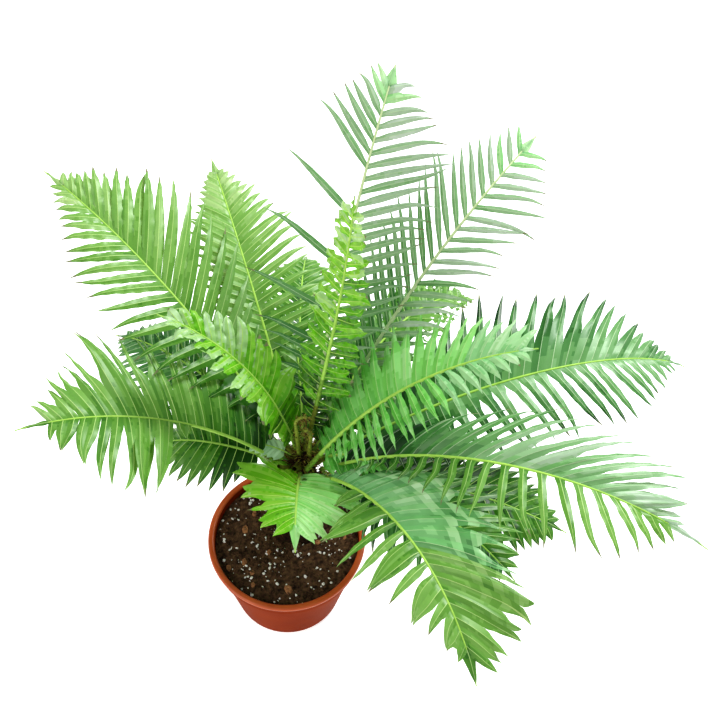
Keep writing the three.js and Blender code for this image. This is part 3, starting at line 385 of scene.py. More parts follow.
# A firm opaque surface: soft blotches between two colours, and a relief whose depth and size are in
# millimetres
def blotched_material(name, light, dark, size, roughness, relief=0.0, relief_size=1.0, specular=0.5,
                      ior=1.45):
    material, tree = new_material(name)
    blend = blotched_colour(tree, size, linear(light), linear(dark), 6.0)
    inputs = {"Base Color": blend, "Roughness": roughness, "IOR": ior, "Specular IOR Level": specular}
    if relief:
        height = blotches(tree, relief_size, 8.0)
        bump = add_node(tree, "Bump", {"Height": height, "Strength": 0.6, "Distance": relief * MM})
        inputs["Normal"] = bump.outputs["Normal"]
    surface = add_node(tree, "BsdfPrincipled", inputs)
    add_node(tree, "OutputMaterial", {"Surface": surface.outputs["BSDF"]})
    return material


FINISHES = {}

# Leaflets and their midribs: the blue family lets less warm light through, as a waxy bloom does
for family, colours in GREENS.items():
    warmth = 0.4 if family == "blue" else 1.0
    for step, colour in enumerate(colours):
        FINISHES[f"{family}{step}"] = leaf_material(f"{family}_leaf_{step}", colour, warmth=warmth)
    FINISHES["midrib_" + family] = leaf_material(f"midrib_of_{family}_leaf", MIDRIBS[family], warmth=warmth)

# Dry leaf tip: brownish, and nearly opaque
FINISHES["dry_tip"] = leaf_material("dry_leaf_tip", "#767A54", 0.1)

# Rib of a frond: a smooth, firm stalk with a soft shine, rougher and browner at its foot
FINISHES["rib"] = blotched_material("frond_rib", "#A8D060", "#92BE4E", 6, 0.5, specular=0.35)
FINISHES["rib_pale"] = blotched_material("pale_frond_rib", "#D0DEAE", "#BCD09A", 6, 0.5, specular=0.35)
FINISHES["rib_foot"] = blotched_material("green_frond_foot", "#86B040", "#5E8228", 4, 0.6, 0.2, 1.5)
FINISHES["rib_foot_brown"] = blotched_material("scaly_frond_foot", "#7E8A22", "#585C1A", 3, 0.7, 0.3, 1.2)

# Moulded plastic of the pot: a dull sheen over the mould's faint grain, drawn coarser than life, and a rim
# that is smoother and painted lighter as a highlight
FINISHES["plastic"] = blotched_material("moulded_plastic", "#903604", "#802C02", 60, 0.5, 0.05, 1.2, 0.22,
                                        1.1)
FINISHES["plastic_rim_highlight"] = blotched_material("highlighted_plastic_rim", "#C25E30", "#A84A1A", 40, 0.34)

# Potting mix: crumbly matt peat, chalky perlite and rough chips of bark
FINISHES["peat"] = blotched_material("peat_mix", "#664C36", "#2A1C12", 5, 0.95, 1.2, 2.2, 0.2)
FINISHES["perlite"] = blotched_material("perlite", "#FBFAF6", "#DAD5CB", 1.5, 0.85, 0.3, 0.6)
FINISHES["chip"] = blotched_material("bark_chip", "#A5754C", "#6B4428", 3, 0.85, 0.4, 1.2)

# Trunk and crown: dark fibre with no shine, papery scales that catch a little light, and coiled young
# fronds under a felt of them
FINISHES["bark"] = blotched_material("fibrous_trunk", "#3E2A1A", "#160F09", 3, 0.95, 1.0, 1.2, 0.2)
FINISHES["scale"] = blotched_material("papery_scale", "#6E4A24", "#3A2410", 2, 0.7, specular=0.3)
FINISHES["pale_scale"] = blotched_material("pale_papery_scale", "#B4A850", "#7C7030", 2, 0.7, specular=0.3)
FINISHES["coil"] = blotched_material("coiled_young_frond", "#98A63C", "#5C6C22", 3, 0.6, 0.3, 1.0)


# Meshes

def new_piece(name, points, faces, finishes, face_finish=None, smooth=True):
    """A mesh piece from points in millimetres; face_finish holds a place in finishes for each face."""
    mesh = bpy.data.meshes.new(name)
    mesh.from_pydata((np.asarray(points, float) * MM).tolist(), [], np.asarray(faces).tolist())
    for finish in finishes:
        mesh.materials.append(FINISHES[finish])
    if face_finish is not None:
        mesh.polygons.foreach_set("material_index", np.asarray(face_finish, np.int32))
    mesh.polygons.foreach_set("use_smooth", np.full(len(mesh.polygons), smooth))
    mesh.update()
    piece = bpy.data.objects.new(name, mesh)
    bpy.context.scene.collection.objects.link(piece)
    return piece


def dress(piece, slot, *nodes):
    """The piece rides on the plant and stands for CAD nodes, which it hides; slot is not used."""
    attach(piece, "root")
    if nodes:
        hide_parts(*nodes)


def grid_faces(rows, columns, closed=False, flip=False):
    """Four-sided faces of a grid of points that is stored row by row; closed joins last column to first."""
    row = np.arange(rows - 1)[:, None]
    column = np.arange(columns if closed else columns - 1)[None, :]
    after = (column + 1) % columns
    corners = [row * columns + column, row * columns + after]
    corners += [(row + 1) * columns + after, (row + 1) * columns + column]
    faces = np.stack(np.broadcast_arrays(*corners), -1).reshape(-1, 4)
    return faces[:, ::-1] if flip else faces


class Gathering:
    """Points and four-sided faces of many like things that become one piece."""

    def __init__(self):
        self.points, self.faces, self.finishes = [], [], []
        self.count = 0

    def add(self, points, faces, finishes):
        self.points.append(points)
        self.faces.append(faces + self.count)
        self.finishes.append(np.broadcast_to(finishes, len(faces)))
        self.count += len(points)

    def piece(self, name, smooth=True):
        names = np.concatenate(self.finishes)
        used = sorted(set(names.tolist()))
        places = np.searchsorted(used, names)
        return new_piece(name, np.vstack(self.points), np.vstack(self.faces), used, places, smooth)


def tube(middles, across, over, half_width, half_height, sides):
    """Points and faces of a round tube along middles, open at both ends."""
    angle = around(sides)
    wide = np.asarray(half_width).reshape(-1, 1, 1) * np.cos(angle)[None, :, None]
    high = np.asarray(half_height).reshape(-1, 1, 1) * np.sin(angle)[None, :, None]
    points = middles[:, None, :] + across[:, None, :] * wide + over[:, None, :] * high
    return points.reshape(-1, 3), grid_faces(len(middles), sides, closed=True)


# The ribs and leaflets of the fronds

def rib_axes(frond, share):
    """The rib's own axes at shares of its length: along it, to its left, and up from it."""
    share = np.asarray(share, float)
    heading = np.radians(frond["azimuth"] + frond["sweep"] * share)
    slope = np.radians(frond["rise"] - frond["arch"] * share ** ARCH_POWER)
    level = np.cos(slope)
    along = np.stack([level * np.cos(heading), level * np.sin(heading), np.sin(slope)], -1)
    left = np.stack([-np.sin(heading), np.cos(heading), 0 * heading], -1)
    return along, left, np.cross(along, left)


def rib_line(frond):
    seat = outward(math.radians(frond.get("seat", frond["azimuth"])))
    foot = np.array([*CROWN, frond["height"]]) + frond["reach"] * seat
    middles = (np.arange(RIB_STEPS) + 0.5) / RIB_STEPS
    steps = rib_axes(frond, middles)[0] * frond["length"] / RIB_STEPS
    return np.vstack([foot, foot + np.cumsum(steps, 0)])


def on_rib(line, share):
    place = np.asarray(share, float) * RIB_STEPS
    return np.stack([np.interp(place, np.arange(RIB_STEPS + 1), line[:, axis]) for axis in range(3)], -1)


def leaf_lengths(look, share):
    """A leaflet's length at each place on the rib, 0 where the rib is bare."""
    growth = lerp(look["first"], 1, smoothstep(share, look["bare"], look["full"]))
    fading = np.clip((share - look["narrow"]) / (look["end"] - look["narrow"]), 0, 1)
    lengths = np.maximum(look["longest"] * growth * lerp(1, look["last"], fading), SHORTEST_LEAF)
    return np.where(share < look["bare"], 0, lengths)


def fore_angles(look, shares):
    """Angles in degrees between the rib and the leaflets at shares of it."""
    onward = np.clip((shares - FORE_FROM) / FORE_SPAN, -0.4, 1.2)
    angles = lerp(look["fore"], look["fore_tip"], onward)
    if "fore_foot" in look:
        near = lerp(look["fore_foot"], look["fore"], shares / FORE_FROM)
        angles = np.where(shares < FORE_FROM, near, angles)
    return angles


def leaf_middles(look, frond, line, shares, lengths, side, rng):
    """Middle lines of one side's leaflets, with the axes of their sections."""
    def strayed(name, usual):
        return (usual + rng.normal(0, STRAY[name] * look["unrest"], len(shares)))[:, None]

    along, left, up = rib_axes(frond, shares)
    fore = np.radians(strayed("fore", fore_angles(look, shares)))
    lift = np.radians(strayed("lift", look["lift"]))
    droop = np.tan(np.radians(strayed("droop", look["droop"])))
    sideways = left * side * np.cos(lift) + up * np.sin(lift)
    start = along * np.cos(fore) + sideways * np.sin(fore)
    onward = squared(along, start)
    reach = ((np.arange(LEAF_SECTIONS) + 0.5) / LEAF_SECTIONS)[None, :]
    phase = rng.uniform(-0.08, 0.08, len(shares))[:, None]
    sway = lerp(look["sway"], look["sway_tip"], smoothstep(shares, 0.2, 0.55))[:, None]
    sway = sway * np.sin(2 * np.pi * (reach + phase))
    turn = strayed("tip_turn", look["tip_turn"]) * smoothstep(reach, 0.5, 1)
    drop = strayed("tip_drop", look["tip_drop"])
    fall = LEAF_FALL * droop * reach + drop * smoothstep(reach, 0.55, 1)
    ways = start[:, None, :] + along[:, None, :] * LEAF_SWEEP * reach[..., None]
    ways = ways + onward[:, None, :] * (sway + turn)[..., None]
    ways[..., 2] -= fall
    ways = unit(ways)
    steps = ways * (lengths[:, None, None] / LEAF_SECTIONS)
    root = on_rib(line, shares) + up * 0.15 * lerp(*look["rib"], shares)[:, None]
    middles = np.concatenate([root[:, None, :], root[:, None, :] + np.cumsum(steps, 1)], 1)
    ends = np.concatenate([ways[:, :1], ways, ways[:, -1:]], 1)
    way = unit(ends[:, :-1] + ends[:, 1:])
    onward = squared(along[:, None, :], way)
    upward = np.cross(onward, way) * side
    reach = np.linspace(0, 1, LEAF_SECTIONS + 1)[None, :, None]
    twist = np.radians(strayed("twist", 0))[:, None] * reach
    twist = twist + math.radians(look["twist"]) * smoothstep(reach, 0, 0.2)
    turned = onward * np.cos(twist) + upward * np.sin(twist)
    upward = upward * np.cos(twist) - onward * np.sin(twist)
    return middles, turned, upward, along


def leaf_finishes(look, share, place, rng):
    """Names of the finishes of a blade's faces, for a leaflet at that share of the rib and that place."""
    reach = (np.arange(LEAF_SECTIONS) + 0.5) / LEAF_SECTIONS
    # Painted shade: a leaflet is darker the nearer it is to the middle of the crown
    distance = np.linalg.norm(place - [*CROWN, CROWN_HEIGHT])
    crown_shading = 1 - smoothstep(distance, CROWN_SHADE_CORE, look["crown_shade_reach"])
    shade = lerp(*look["shades"], share) - look["crown_shade"] * crown_shading + rng.normal(0, look["mottle"])
    # Painted shade at the leaflet's foot near the rib, and a painted sheen towards its end
    shade = shade - look["base"] * (1 - smoothstep(reach, 0.05, 0.35 + rng.normal(0, 0.05)))
    shade = shade + look["end_sheen"] * smoothstep(reach, 0.5, 1)
    # Painted stripes of shadow and sheen across the middle of the leaflet
    strength, count = look["shadow_bands"]
    strength = strength * smoothstep(reach, 0.25, 0.5) * (1 - smoothstep(share, 0.5, 0.8))
    shade = shade + strength * (np.tanh(2 * np.sin(2 * np.pi * (count * reach + rng.normal(0, 0.2)))) - 0.3)
    withered = rng.random() < look["dry"]
    shade = shade - 1.6 * withered * smoothstep(reach, 0.72, 0.95)
    streaks = rng.permutation(np.linspace(-0.42, 0.42, BLADE_STRIPS))
    streaks = streaks + rng.normal(0, 0.12, (LEAF_SECTIONS, BLADE_STRIPS))
    steps = np.clip(np.round(shade[:, None] + streaks), 0, GREEN_STEPS - 1).astype(int)
    beyond = share > look["tip_from"] + rng.normal(0, 0.025)
    tint = look.get("tip_tint", look["tint"]) if beyond else look["tint"]
    names = np.array([[tint + str(step) for step in row] for row in steps], dtype="U16")
    names[:, MIDRIB_STRIPS] = "midrib_" + tint
    if withered:
        names[-DRY_SECTIONS:, :] = "dry_tip"
    return names


def blade(middle, edges, holds, upward, look, length, side, phases):
    """Points of one blade: across each section from its lower edge over its midrib to its upper edge.

    The edges lie where edges puts them, so that joined neighbours meet, and the rest stands above them."""
    reach = np.linspace(0, 1, LEAF_SECTIONS + 1)
    strip = lerp(*MIDRIB_HALF_WIDTH, reach)
    fold = look["fold"] * smoothstep(reach, 0, 0.14)
    rows = []
    for edge, hold, phase in zip(edges, holds, phases):
        half = np.linalg.norm(edge - middle, axis=-1)
        inner = np.minimum(strip / np.maximum(half, 1e-6), 0.4)
        free = smoothstep(reach, 0.08, 0.3) * smoothstep(-reach, -1.0, -0.85) * (1 - hold)
        wave = look["ripple"] * np.sin(2 * np.pi * reach * length / look["wave"] + phase) * free
        for across in (1.0, 0.58, None):
            across = inner if across is None else np.full_like(half, across)
            stand = fold * half * (1 - across ** 1.3) + wave * across ** 2
            rows.append(middle + (edge - middle) * across[:, None] + upward * stand[:, None])
    width = (np.linalg.norm(edges[0] - middle, axis=-1) + np.linalg.norm(edges[1] - middle, axis=-1)) / 2
    ridge = middle + upward * (fold * width + 0.12)[:, None]
    order = [rows[0], rows[1], rows[2], ridge, rows[5], rows[4], rows[3]]
    return np.stack(order, 1).reshape(-1, 3), grid_faces(len(reach), len(order), flip=side < 0)


def clump_numbers(look, pairs, rng):
    """Number of the clump that each leaflet is in; the two leaflets of a clump grow together."""
    numbers = [0]
    while len(numbers) < pairs:
        joins = numbers.count(numbers[-1]) < 2 and rng.random() < look["clump"]
        numbers.append(numbers[-1] + (0 if joins else 1))
    return np.array(numbers)


def side_look(frond, side):
    """What one side of a frond has, where side is 1 for the left and -1 for the right."""
    return {**frond, **frond.get("left" if side > 0 else "right", {})}


def grow_side(gathering, frond, line, side, rng):
    look = side_look(frond, side)
    pairs = frond["pairs"]
    places = lerp(frond["bare"], frond["end"], (np.arange(pairs + 1) / pairs) ** frond["crowd"])
    shares = (places[:-1] + places[1:]) / 2
    spacings = frond["length"] * np.diff(places)
    lengths = leaf_lengths(look, shares)
    if side > 0:
        lengths[frond["lost"]] = 0
    lengths = lengths * (1 + rng.normal(0, 0.015 * look["unrest"], pairs))
    clumps = clump_numbers(look, pairs, rng)
    if look["clump"]:
        lengths = np.array([lengths[clumps == number].mean() for number in clumps])
    middles, onward, upward, along = leaf_middles(look, frond, line, shares, lengths, side, rng)
    reach = np.linspace(0, 1, LEAF_SECTIONS + 1)
    gathered = np.array([middles[clumps == number].mean(0) for number in clumps])
    middles = lerp(middles, gathered, look["gather"] * smoothstep(reach, 0.35, 1)[:, None])
    webs = lerp(look["web"], look["web_tip"], smoothstep(shares, look["web_from"], 0.95))
    webs = webs + look["web_foot"] * (1 - smoothstep(shares, 0.15, 0.45))
    webs = webs + rng.normal(0, look["web_spread"], pairs)
    webs = np.where(rng.random(pairs) < look["split"], 0.05, webs)
    webs = np.where(clumps == np.append(clumps[1:], -1), FULLEST_WEB, webs)
    webs = np.clip(webs, 0.01, FULLEST_WEB)
    full = lerp(look["neck"], 1, smoothstep(reach, 0, look["belly"]))
    ending = np.clip((reach - look["belly"]) / (1 - look["belly"]), 0, 1)
    profile = full * (1 - ending ** look["taper"])
    for pair in range(pairs):
        length = lengths[pair]
        if length <= 0:
            continue
        stocky = min(1.0, (length / (0.45 * look["longest"])) ** 0.5)
        half = np.maximum(0.5 * look["width"] * stocky * profile, 0.12)
        edges, holds = [], []
        for sign in (-1, 1):
            near = pair + sign
            joined = 0 <= near < pairs and lengths[near] > 0
            web = webs[min(pair, near)] if joined else 0.02
            if joined:
                towards = (middles[near] - middles[pair]) / 2
            else:
                towards = np.broadcast_to(sign * along[pair] * spacings[pair] / 2, middles[pair].shape)
            holds.append(1 - smoothstep(reach, web, web + 0.16))
            hold = holds[-1][:, None]
            rooted = lerp(look["root"], 1, np.float64(web > 0.1))
            free = onward[pair] * sign * half[:, None]
            edges.append(middles[pair] + towards * hold * rooted + free * (1 - hold))
        phases = rng.uniform(0, 2 * np.pi, 2)
        points, faces = blade(middles[pair], edges, holds, upward[pair], look, length, side, phases)
        names = leaf_finishes(look, shares[pair], middles[pair][LEAF_SECTIONS // 2], rng)
        gathering.add(points, faces, names.reshape(-1))


def grow_tail(gathering, frond, line, rng):
    """The undivided blade that ends a frond."""
    look = side_look(frond, 1)
    shares = np.linspace(lerp(frond["bare"], frond["end"], 0.985), 1, LEAF_SECTIONS + 1)
    middle = on_rib(line, shares)
    along, left, up = rib_axes(frond, shares)
    middle = middle + up * 0.5 * lerp(*look["rib"], shares)[:, None]
    reach = np.linspace(0, 1, LEAF_SECTIONS + 1)
    profile = lerp(0.6, 1, smoothstep(reach, 0, 0.2)) * (1 - np.clip((reach - 0.15) / 0.85, 0, 1) ** 1.2)
    half = np.maximum(look["tail"] * profile, 0.12)[:, None]
    length = frond["length"] * (shares[-1] - shares[0])
    edges = [middle + left * half, middle - left * half]
    points, faces = blade(middle, edges, [0, 0], up, look, length, 1, rng.uniform(0, 2 * np.pi, 2))
    names = leaf_finishes(look, 1.0, line[-1], rng)
    gathering.add(points, faces, names.reshape(-1))


def make_frond(frond, index):
    line = rib_line(frond)
    shares = np.linspace(0, 1, RIB_STEPS + 1)
    _, left, up = rib_axes(frond, shares)
    half = lerp(*frond["rib"], shares) + 0.6 * (1 - smoothstep(shares, 0, 0.06))
    points, faces = tube(line, left, up, half, half, RIB_SIDES)
    ribs = Gathering()
    along_rib = np.repeat(shares[:-1], RIB_SIDES)
    names = np.where(along_rib < frond["brown"] + 0.1, "rib_foot", frond["stalk"])
    names = np.where(along_rib < frond["brown"], "rib_foot_brown", names)
    ribs.add(points, faces, names)
    dress(ribs.piece(frond["name"] + "_rib"), frond["material"])

    rng = np.random.default_rng(SEED * 100 + index)
    leaflets = Gathering()
    for side in (1, -1):
        grow_side(leaflets, frond, line, side, rng)
    grow_tail(leaflets, frond, line, rng)
    dress(leaflets.piece(frond["name"] + "_leaflets"), frond["material"], frond["name"])


for index, frond in enumerate(FRONDS):
    make_frond(frond, index)


# Pot

def arc(centre, radius, first, last, steps):
    """Points of an arc in the plane of a profile; angles in degrees from the outward way."""
    angles = np.radians(np.linspace(first, last, steps))
    return [(centre[0] + radius * math.cos(a), centre[1] + radius * math.sin(a)) for a in angles]


def lathe(profile, sides):
    profile = np.asarray(profile, float)
    angle = around(sides)
    points = np.stack([
        profile[:, :1] * np.cos(angle), profile[:, :1] * np.sin(angle),
        np.repeat(profile[:, 1:], sides, 1),
    ], -1)
    return points.reshape(-1, 3), grid_faces(len(profile), sides, closed=True)


def make_pot():
    collar_foot = POT_HEIGHT - COLLAR_HEIGHT
    lip_round = LIP_HEIGHT / 2
    edge_round = 1.5
    groove = 1.2
    profile = [(0.5, 0), (BASE_RADIUS - 10, 0), (BASE_RADIUS - 9, groove), (BASE_RADIUS - 5, groove)]
    profile += [(BASE_RADIUS - 4, 0)]
    profile += arc((BASE_RADIUS - edge_round, edge_round), edge_round, -90, -10, 5)
    profile += [(lerp(BASE_RADIUS, BODY_TOP_RADIUS, share), lerp(edge_round, collar_foot - 2, share))
                for share in np.linspace(0.02, 1, 12)]
    profile += arc((COLLAR_RADIUS - 2, collar_foot + 0.6), edge_round, -60, 0, 5)
    profile += [(COLLAR_RADIUS, POT_HEIGHT - LIP_HEIGHT - 1)]
    profile += arc((RIM_RADIUS - lip_round, POT_HEIGHT - lip_round), lip_round, -80, 90, 12)
    profile += arc((INNER_RADIUS + lip_round, POT_HEIGHT - lip_round), lip_round, 90, 180, 7)
    profile += [(INNER_RADIUS, collar_foot + 2), (BODY_TOP_RADIUS - WALL, collar_foot - 3)]
    profile += [(BASE_RADIUS - WALL, FLOOR_THICKNESS), (0.5, FLOOR_THICKNESS)]
    points, faces = lathe(profile, 160)
    # The faces of the lip take the lighter rim finish, a painted highlight
    rim = points[faces, 2].mean(1) > POT_HEIGHT - LIP_HEIGHT
    return new_piece("pot_shell", points, faces, ["plastic", "plastic_rim_highlight"], rim)


dress(make_pot(), "pot", "pot")


# Potting mix

def peat_height(x, y):
    radius = math.hypot(x, y)
    mound = -2.0 * smoothstep(radius, INNER_RADIUS - 14, INNER_RADIUS)
    rough = 1.6 * noise.noise(Vector((x, y, 0)) / 14) + 0.9 * noise.noise(Vector((x, y, 9)) / 4)
    return SOIL_TOP - 0.6 + float(mound) + rough + 0.5 * noise.noise(Vector((x, y, 5)) / 1.8)


def make_potting_mix():
    rings, sides = 84, 256
    edge = INNER_RADIUS - 0.4
    rows = []
    for ring in range(rings):
        radius = 0.4 + (edge - 0.4) * ring / (rings - 1)
        rows.append([(radius * math.cos(a), radius * math.sin(a)) for a in around(sides)])
    points = [(x, y, peat_height(x, y)) for row in rows for x, y in row]
    points += [(x * 0.985, y * 0.985, SOIL_TOP - 12) for x, y in rows[-1]]
    return new_piece("potting_mix", points, grid_faces(rings + 1, sides, closed=True), ["peat"])


def ball_points(rows, sides):
    """Points of a unit ball, row by row."""
    polar = np.linspace(0.12, math.pi - 0.12, rows)[:, None]
    angle = around(sides)[None, :]
    level = np.sin(polar)
    parts = [level * np.cos(angle), level * np.sin(angle), np.cos(polar) + 0 * angle]
    return np.stack(parts, -1).reshape(-1, 3)


def scatter(name, finish, count, sizes, rows, sides, rng, lump=0.3, flat=0.7, sink=0.3, smooth=True):
    """A piece of lumps of those sizes, in millimetres, that lie on the potting mix."""
    lumps = Gathering()
    unit_ball = ball_points(rows, sides)
    faces = grid_faces(rows, sides, closed=True)
    for _ in range(count):
        radius = (INNER_RADIUS - 3) * math.sqrt(rng.random())
        angle = rng.uniform(0, 2 * math.pi)
        x, y = radius * math.cos(angle), radius * math.sin(angle)
        size = lerp(*sizes, rng.random() ** 1.6) / 2
        shape = unit_ball * (1 + rng.normal(0, lump / 2, (len(unit_ball), 1)))
        shape = shape * size * np.array([1, rng.uniform(0.55, 1.0), flat])
        turn = rng.uniform(0, 2 * math.pi)
        cos, sin = math.cos(turn), math.sin(turn)
        shape = shape @ np.array([[cos, sin, 0], [-sin, cos, 0], [0, 0, 1]])
        lumps.add(shape + [x, y, peat_height(x, y) + size * (flat - sink)], faces, finish)
    dress(lumps.piece(name, smooth), "soil")


dress(make_potting_mix(), "soil", "soil")
soil_rng = np.random.default_rng(SEED)
scatter("peat_crumbs", "peat", 1500, (1.0, 4.2), 4, 6, soil_rng, lump=0.5, smooth=False)
scatter("perlite_grains", "perlite", 270, (1.0, 4.4), 6, 8, soil_rng, flat=0.6)
scatter("bark_chips", "chip", 14, (5, 12), 6, 8, soil_rng, lump=0.25, flat=0.25, sink=0, smooth=False)


# Trunk

def trunk_centre(share):
    bend = share ** 1.3
    level = lerp(TRUNK_FOOT, CROWN, bend)
    return np.array([*level, lerp(SOIL_TOP - 2, TRUNK_TOP, share)])


def trunk_radius(share):
    flare = (FLARE_RADIUS - TRUNK_RADIUS) * (1 - smoothstep(share, 0, 0.3)) ** 1.5
    return (TRUNK_RADIUS + flare) * lerp(1, TRUNK_TIP_RADIUS / TRUNK_RADIUS, smoothstep(share, 0.84, 1))


def make_trunk():
    rows, sides = 120, 96
    points = []
    for row in range(rows):
        share = row / (rows - 1)
        centre = trunk_centre(share)
        for angle in around(sides):
            out = outward(angle)
            place = Vector(centre + out * trunk_radius(share))
            fibre = Vector((place.x, place.y, place.z / 4))
            rough = 2.0 * noise.noise(place / 9) + 1.3 * noise.noise(fibre / 2.2)
            bump = 0.09 * (1 - share) * math.sin(5 * angle + 9 * share)
            points.append(centre + out * (trunk_radius(share) * (1 + bump) + rough))
    tip = trunk_centre(1) + np.array([0, 0, 1])
    points += [tip + 0.3 * outward(angle) for angle in around(sides)]
    return new_piece("trunk_bark", points, grid_faces(rows + 1, sides, closed=True), ["bark"])


def add_stubs(gathering, rng):
    """Bases of old fronds, broken off short, around the trunk."""
    count = 52
    for number in range(count):
        share = lerp(0.12, 0.94, (number / (count - 1)) ** 0.8)
        angle = OLD_BASE_TURN * number + rng.normal(0, 0.2)
        out = outward(angle)
        root = trunk_centre(share) + out * (trunk_radius(share) - 3)
        size = rng.uniform(0.75, 1.15) * lerp(1, 1.3, share)
        ways = [out * reach + np.array([0, 0, 1.1 * reach ** 1.3]) for reach in np.linspace(0, 1, 7)]
        middles = root + np.array(ways) * rng.uniform(8, 14) * lerp(1, 1.4, share)
        along = unit(np.gradient(middles, axis=0))
        sideways = np.broadcast_to(np.cross([0, 0, 1], out), middles.shape)
        half = np.linspace(3.4, 1.9, 7) * size
        points, faces = tube(middles, sideways, np.cross(along, sideways), half, half * 0.75, 9)
        gathering.add(points, faces, "bark" if share < 0.75 else "rib_foot_brown")


def add_scales(gathering, places, ways, lengths, half_width, finishes, rng):
    """Narrow papery scales that stand off the places along the ways and bend down at their tips."""
    count = len(places)
    ways = unit(ways)
    across = unit(np.cross(ways, rng.normal(0, 1, (count, 3))))
    lengths = lengths[:, None]
    middle = places + ways * lengths * 0.55
    tips = places + ways * lengths - np.array([0, 0, 0.25]) * lengths
    half = np.broadcast_to(half_width, count)[:, None]
    rows = [places - across * half, places + across * half, middle - across * half * 0.8]
    rows += [middle + across * half * 0.8, tips - across * 0.1, tips + across * 0.1]
    points = np.stack(rows, 1).reshape(-1, 3)
    pattern = np.array([[0, 1, 3, 2], [2, 3, 5, 4]])
    faces = (np.arange(count)[:, None, None] * 6 + pattern).reshape(-1, 4)
    names = rng.choice(finishes, count)
    gathering.add(points, faces, np.repeat(names, 2))


def trunk_scales(gathering, count, share_range, lift, lengths, half_width, finishes, rng):
    """Scales and fibres on a stretch of the trunk; lift is how steeply they stand."""
    shares = rng.uniform(*share_range, count)
    angles = rng.uniform(0, 2 * math.pi, count)
    out = np.stack([np.cos(angles), np.sin(angles), 0 * angles], -1)
    centres = np.array([trunk_centre(share) for share in shares])
    radii = np.array([trunk_radius(share) for share in shares])
    ways = out * (1 - lift) + np.array([0, 0, 1]) * lift + rng.normal(0, 0.18, (count, 3))
    places = centres + out * (radii * rng.uniform(0.85, 1.02, count))[:, None]
    add_scales(gathering, places, ways, rng.uniform(*lengths, count), half_width, finishes, rng)


def rib_scales(gathering, frond, rng):
    """Scales on the foot of a frond."""
    count = 46
    line = rib_line(frond)
    shares = SCALY_FOOT / frond["length"] * rng.random(count) ** 1.4
    along, left, up = rib_axes(frond, shares)
    angles = rng.uniform(0, 2 * math.pi, count)[:, None]
    out = left * np.cos(angles) + up * np.sin(angles)
    places = on_rib(line, shares) + out * 2.2
    ways = out * 0.7 + along * 0.8 + rng.normal(0, 0.2, (count, 3))
    finishes = ["scale", "rib_foot_brown", "pale_scale"]
    add_scales(gathering, places, ways, rng.uniform(3, 7, count), 0.45, finishes, rng)


dress(make_trunk(), "trunk", "trunk")
trunk_rng = np.random.default_rng(SEED + 1)
stubs = Gathering()
add_stubs(stubs, trunk_rng)
dress(stubs.piece("old_frond_bases"), "trunk")
scales = Gathering()
trunk_scales(scales, 900, (0.05, 0.86), 0.8, (6, 13), 0.5, ["bark", "scale"], trunk_rng)
dome_scales = ["bark", "rib_foot_brown", "scale", "pale_scale"]
trunk_scales(scales, 900, (0.82, 1.0), 0.62, (7, 16), 0.6, dome_scales, trunk_rng)
for frond in FRONDS:
    if frond["length"] > SHORTEST_SCALY_FROND:
        rib_scales(scales, frond, trunk_rng)
dress(scales.piece("crown_scales", smooth=False), "trunk")


# Coiled young fronds
COIL_TURNS = 1.5
STALK_STEPS = 12
COIL_STEPS = 60
COILS = [
    {"name": "young_coil_left", "azimuth": 205, "reach": 5, "lean": 3, "stalk": 62, "coil": 7},
    {"name": "young_coil_right", "azimuth": 335, "reach": 6, "lean": 3, "stalk": 40, "coil": 5.5},
]


def make_coil(coil):
    heading = outward(math.radians(coil["azimuth"]))
    lean = math.radians(coil["lean"])
    way = heading * math.sin(lean) + np.array([0, 0, math.cos(lean)])
    foot = np.array([*CROWN, TRUNK_TOP]) + heading * coil["reach"]
    head = foot + way * coil["stalk"]
    hub = head - heading * coil["coil"]
    middles = [lerp(foot - way * 4, head, share) for share in np.linspace(0, 0.9, STALK_STEPS)]
    radii = list(np.linspace(2.4, 1.8, STALK_STEPS))
    for share in np.linspace(0, 1, COIL_STEPS):
        angle = COIL_TURNS * 2 * math.pi * share
        radius = lerp(coil["coil"], 1.6, share ** 0.8)
        turned = heading * math.cos(angle) + np.array([0, 0, math.sin(angle)])
        middles.append(hub + radius * turned)
        radii.append(lerp(1.7, 0.8, share))
    middles = np.array(middles)
    along = unit(np.gradient(middles, axis=0))
    sideways = np.broadcast_to(np.cross([0, 0, 1], heading), middles.shape)
    over = np.cross(along, sideways)
    points, faces = tube(middles, sideways, over, radii, radii, 12)
    stalk = Gathering()
    stalk.add(points, faces, "coil")
    rng = np.random.default_rng(SEED + 2)
    picks = rng.integers(0, len(middles), 320)
    angles = rng.uniform(0, 2 * math.pi, len(picks))[:, None]
    out = sideways[picks] * np.cos(angles) + over[picks] * np.sin(angles)
    places = middles[picks] + out * np.array(radii)[picks][:, None]
    ways = out * 0.8 + along[picks] * 0.5 + rng.normal(0, 0.25, out.shape)
    finishes = ["pale_scale", "coil", "scale"]
    add_scales(stalk, places, ways, rng.uniform(2, 5, len(picks)), 0.4, finishes, rng)
    return stalk.piece(coil["name"] + "_stalk")


for coil in COILS:
    dress(make_coil(coil), "coil", coil["name"])


# Floor, light and camera: the floor lies a little under the pot. The camera looks down by its pitch and
# leans by its roll, in degrees, and these and its distance from the middle of the pot's rim match the
# ellipses of the rim and the base in the photo. RIM_MIDDLE is where that middle is, in pixels from the
# photo's upper left corner. Places of lamps are in metres.
FLOOR_REACH = 90000
FLOOR_DROP = 0.2
CAMERA_PITCH = 55
CAMERA_ROLL = 4
CAMERA_DISTANCE = 1225
PHOTO_WIDTH = 726
RIM_MIDDLE = (287, 536)
SENSOR_WIDTH = 36
LENS = 55.39


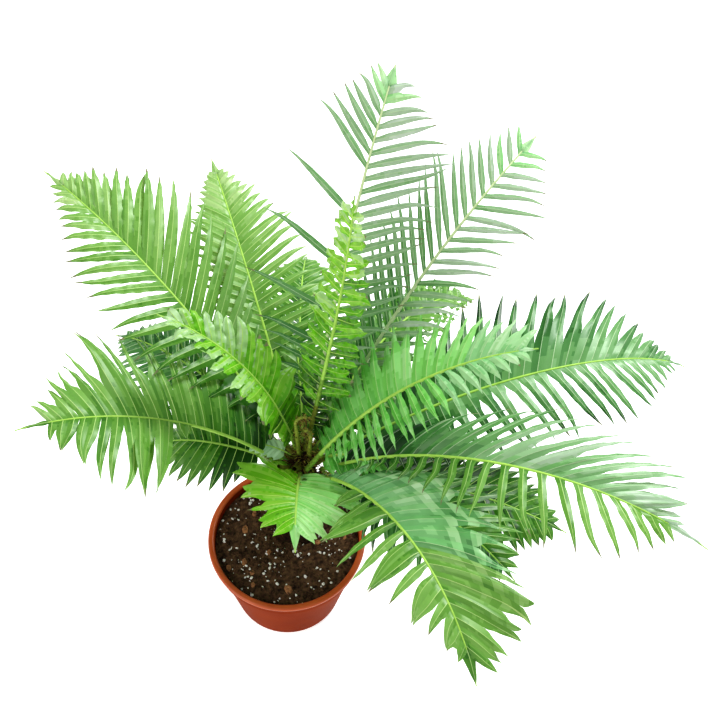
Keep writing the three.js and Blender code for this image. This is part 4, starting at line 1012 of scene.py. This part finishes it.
def make_floor():
    material, tree = new_material("matt_studio_floor")
    surface = add_node(tree, "BsdfDiffuse", {"Color": linear("#FFFFFF")})
    glow = add_node(tree, "Emission", {"Color": linear("#FFFFFF"), "Strength": 0.45})
    both = add_node(tree, "AddShader", {0: surface.outputs["BSDF"], 1: glow.outputs["Emission"]})
    add_node(tree, "OutputMaterial", {"Surface": both.outputs["Shader"]})
    ways = [(-1, -1), (1, -1), (1, 1), (-1, 1)]
    corners = [(x * FLOOR_REACH, y * FLOOR_REACH, -FLOOR_DROP) for x, y in ways]
    FINISHES["floor"] = material
    floor = new_piece("floor", corners, [(0, 1, 2, 3)], ["floor"], smooth=False)


def add_light(name, place, aim, size, power, colour):
    lamp = bpy.data.lights.new(name, "AREA")
    lamp.size = size
    lamp.energy = power
    lamp.color = linear(colour)[:3]
    holder = bpy.data.objects.new(name, lamp)
    holder.location = place
    holder.rotation_euler = (Vector(aim) - Vector(place)).to_track_quat("-Z", "Y").to_euler()
    bpy.context.scene.collection.objects.link(holder)


def make_studio():
    make_floor()
    world = bpy.data.worlds.new("studio")
    world.use_nodes = True
    background = world.node_tree.nodes["Background"]
    background.inputs["Color"].default_value = linear("#F4F8FF")
    background.inputs["Strength"].default_value = 0.5
    bpy.context.scene.world = world
    add_light("window", (1.1, 1.3, 2.2), (0, 0, 0.25), 0.8, 70, "#FFFFFF")
    add_light("fill", (-1.6, -1.4, 1.8), (0, 0, 0.25), 1.6, 28, "#FFF8EE")
    bpy.context.scene.view_settings.view_transform = "Standard"
    bpy.context.scene.view_settings.look = "Medium High Contrast"


def make_camera():
    pitch, roll = math.radians(CAMERA_PITCH), math.radians(CAMERA_ROLL)
    forward = Vector((0, math.cos(pitch), -math.sin(pitch)))
    level, steep = Vector((1, 0, 0)), Vector((0, math.sin(pitch), math.cos(pitch)))
    right = level * math.cos(roll) + steep * math.sin(roll)
    up = steep * math.cos(roll) - level * math.sin(roll)
    slopes = [(pixel / PHOTO_WIDTH - 0.5) * SENSOR_WIDTH / LENS for pixel in RIM_MIDDLE]
    to_rim = (forward + right * slopes[0] - up * slopes[1]).normalized()
    place = (Vector((0, 0, POT_HEIGHT)) - to_rim * CAMERA_DISTANCE) * MM
    data = bpy.data.cameras.new("camera")
    data.sensor_width = SENSOR_WIDTH
    data.lens = LENS
    camera = bpy.data.objects.new("camera", data)
    turn = Matrix((right, up, right.cross(up))).transposed().to_4x4()
    camera.matrix_world = Matrix.Translation(place) @ turn
    bpy.context.scene.collection.objects.link(camera)
    bpy.context.scene.camera = camera


make_studio()
make_camera()
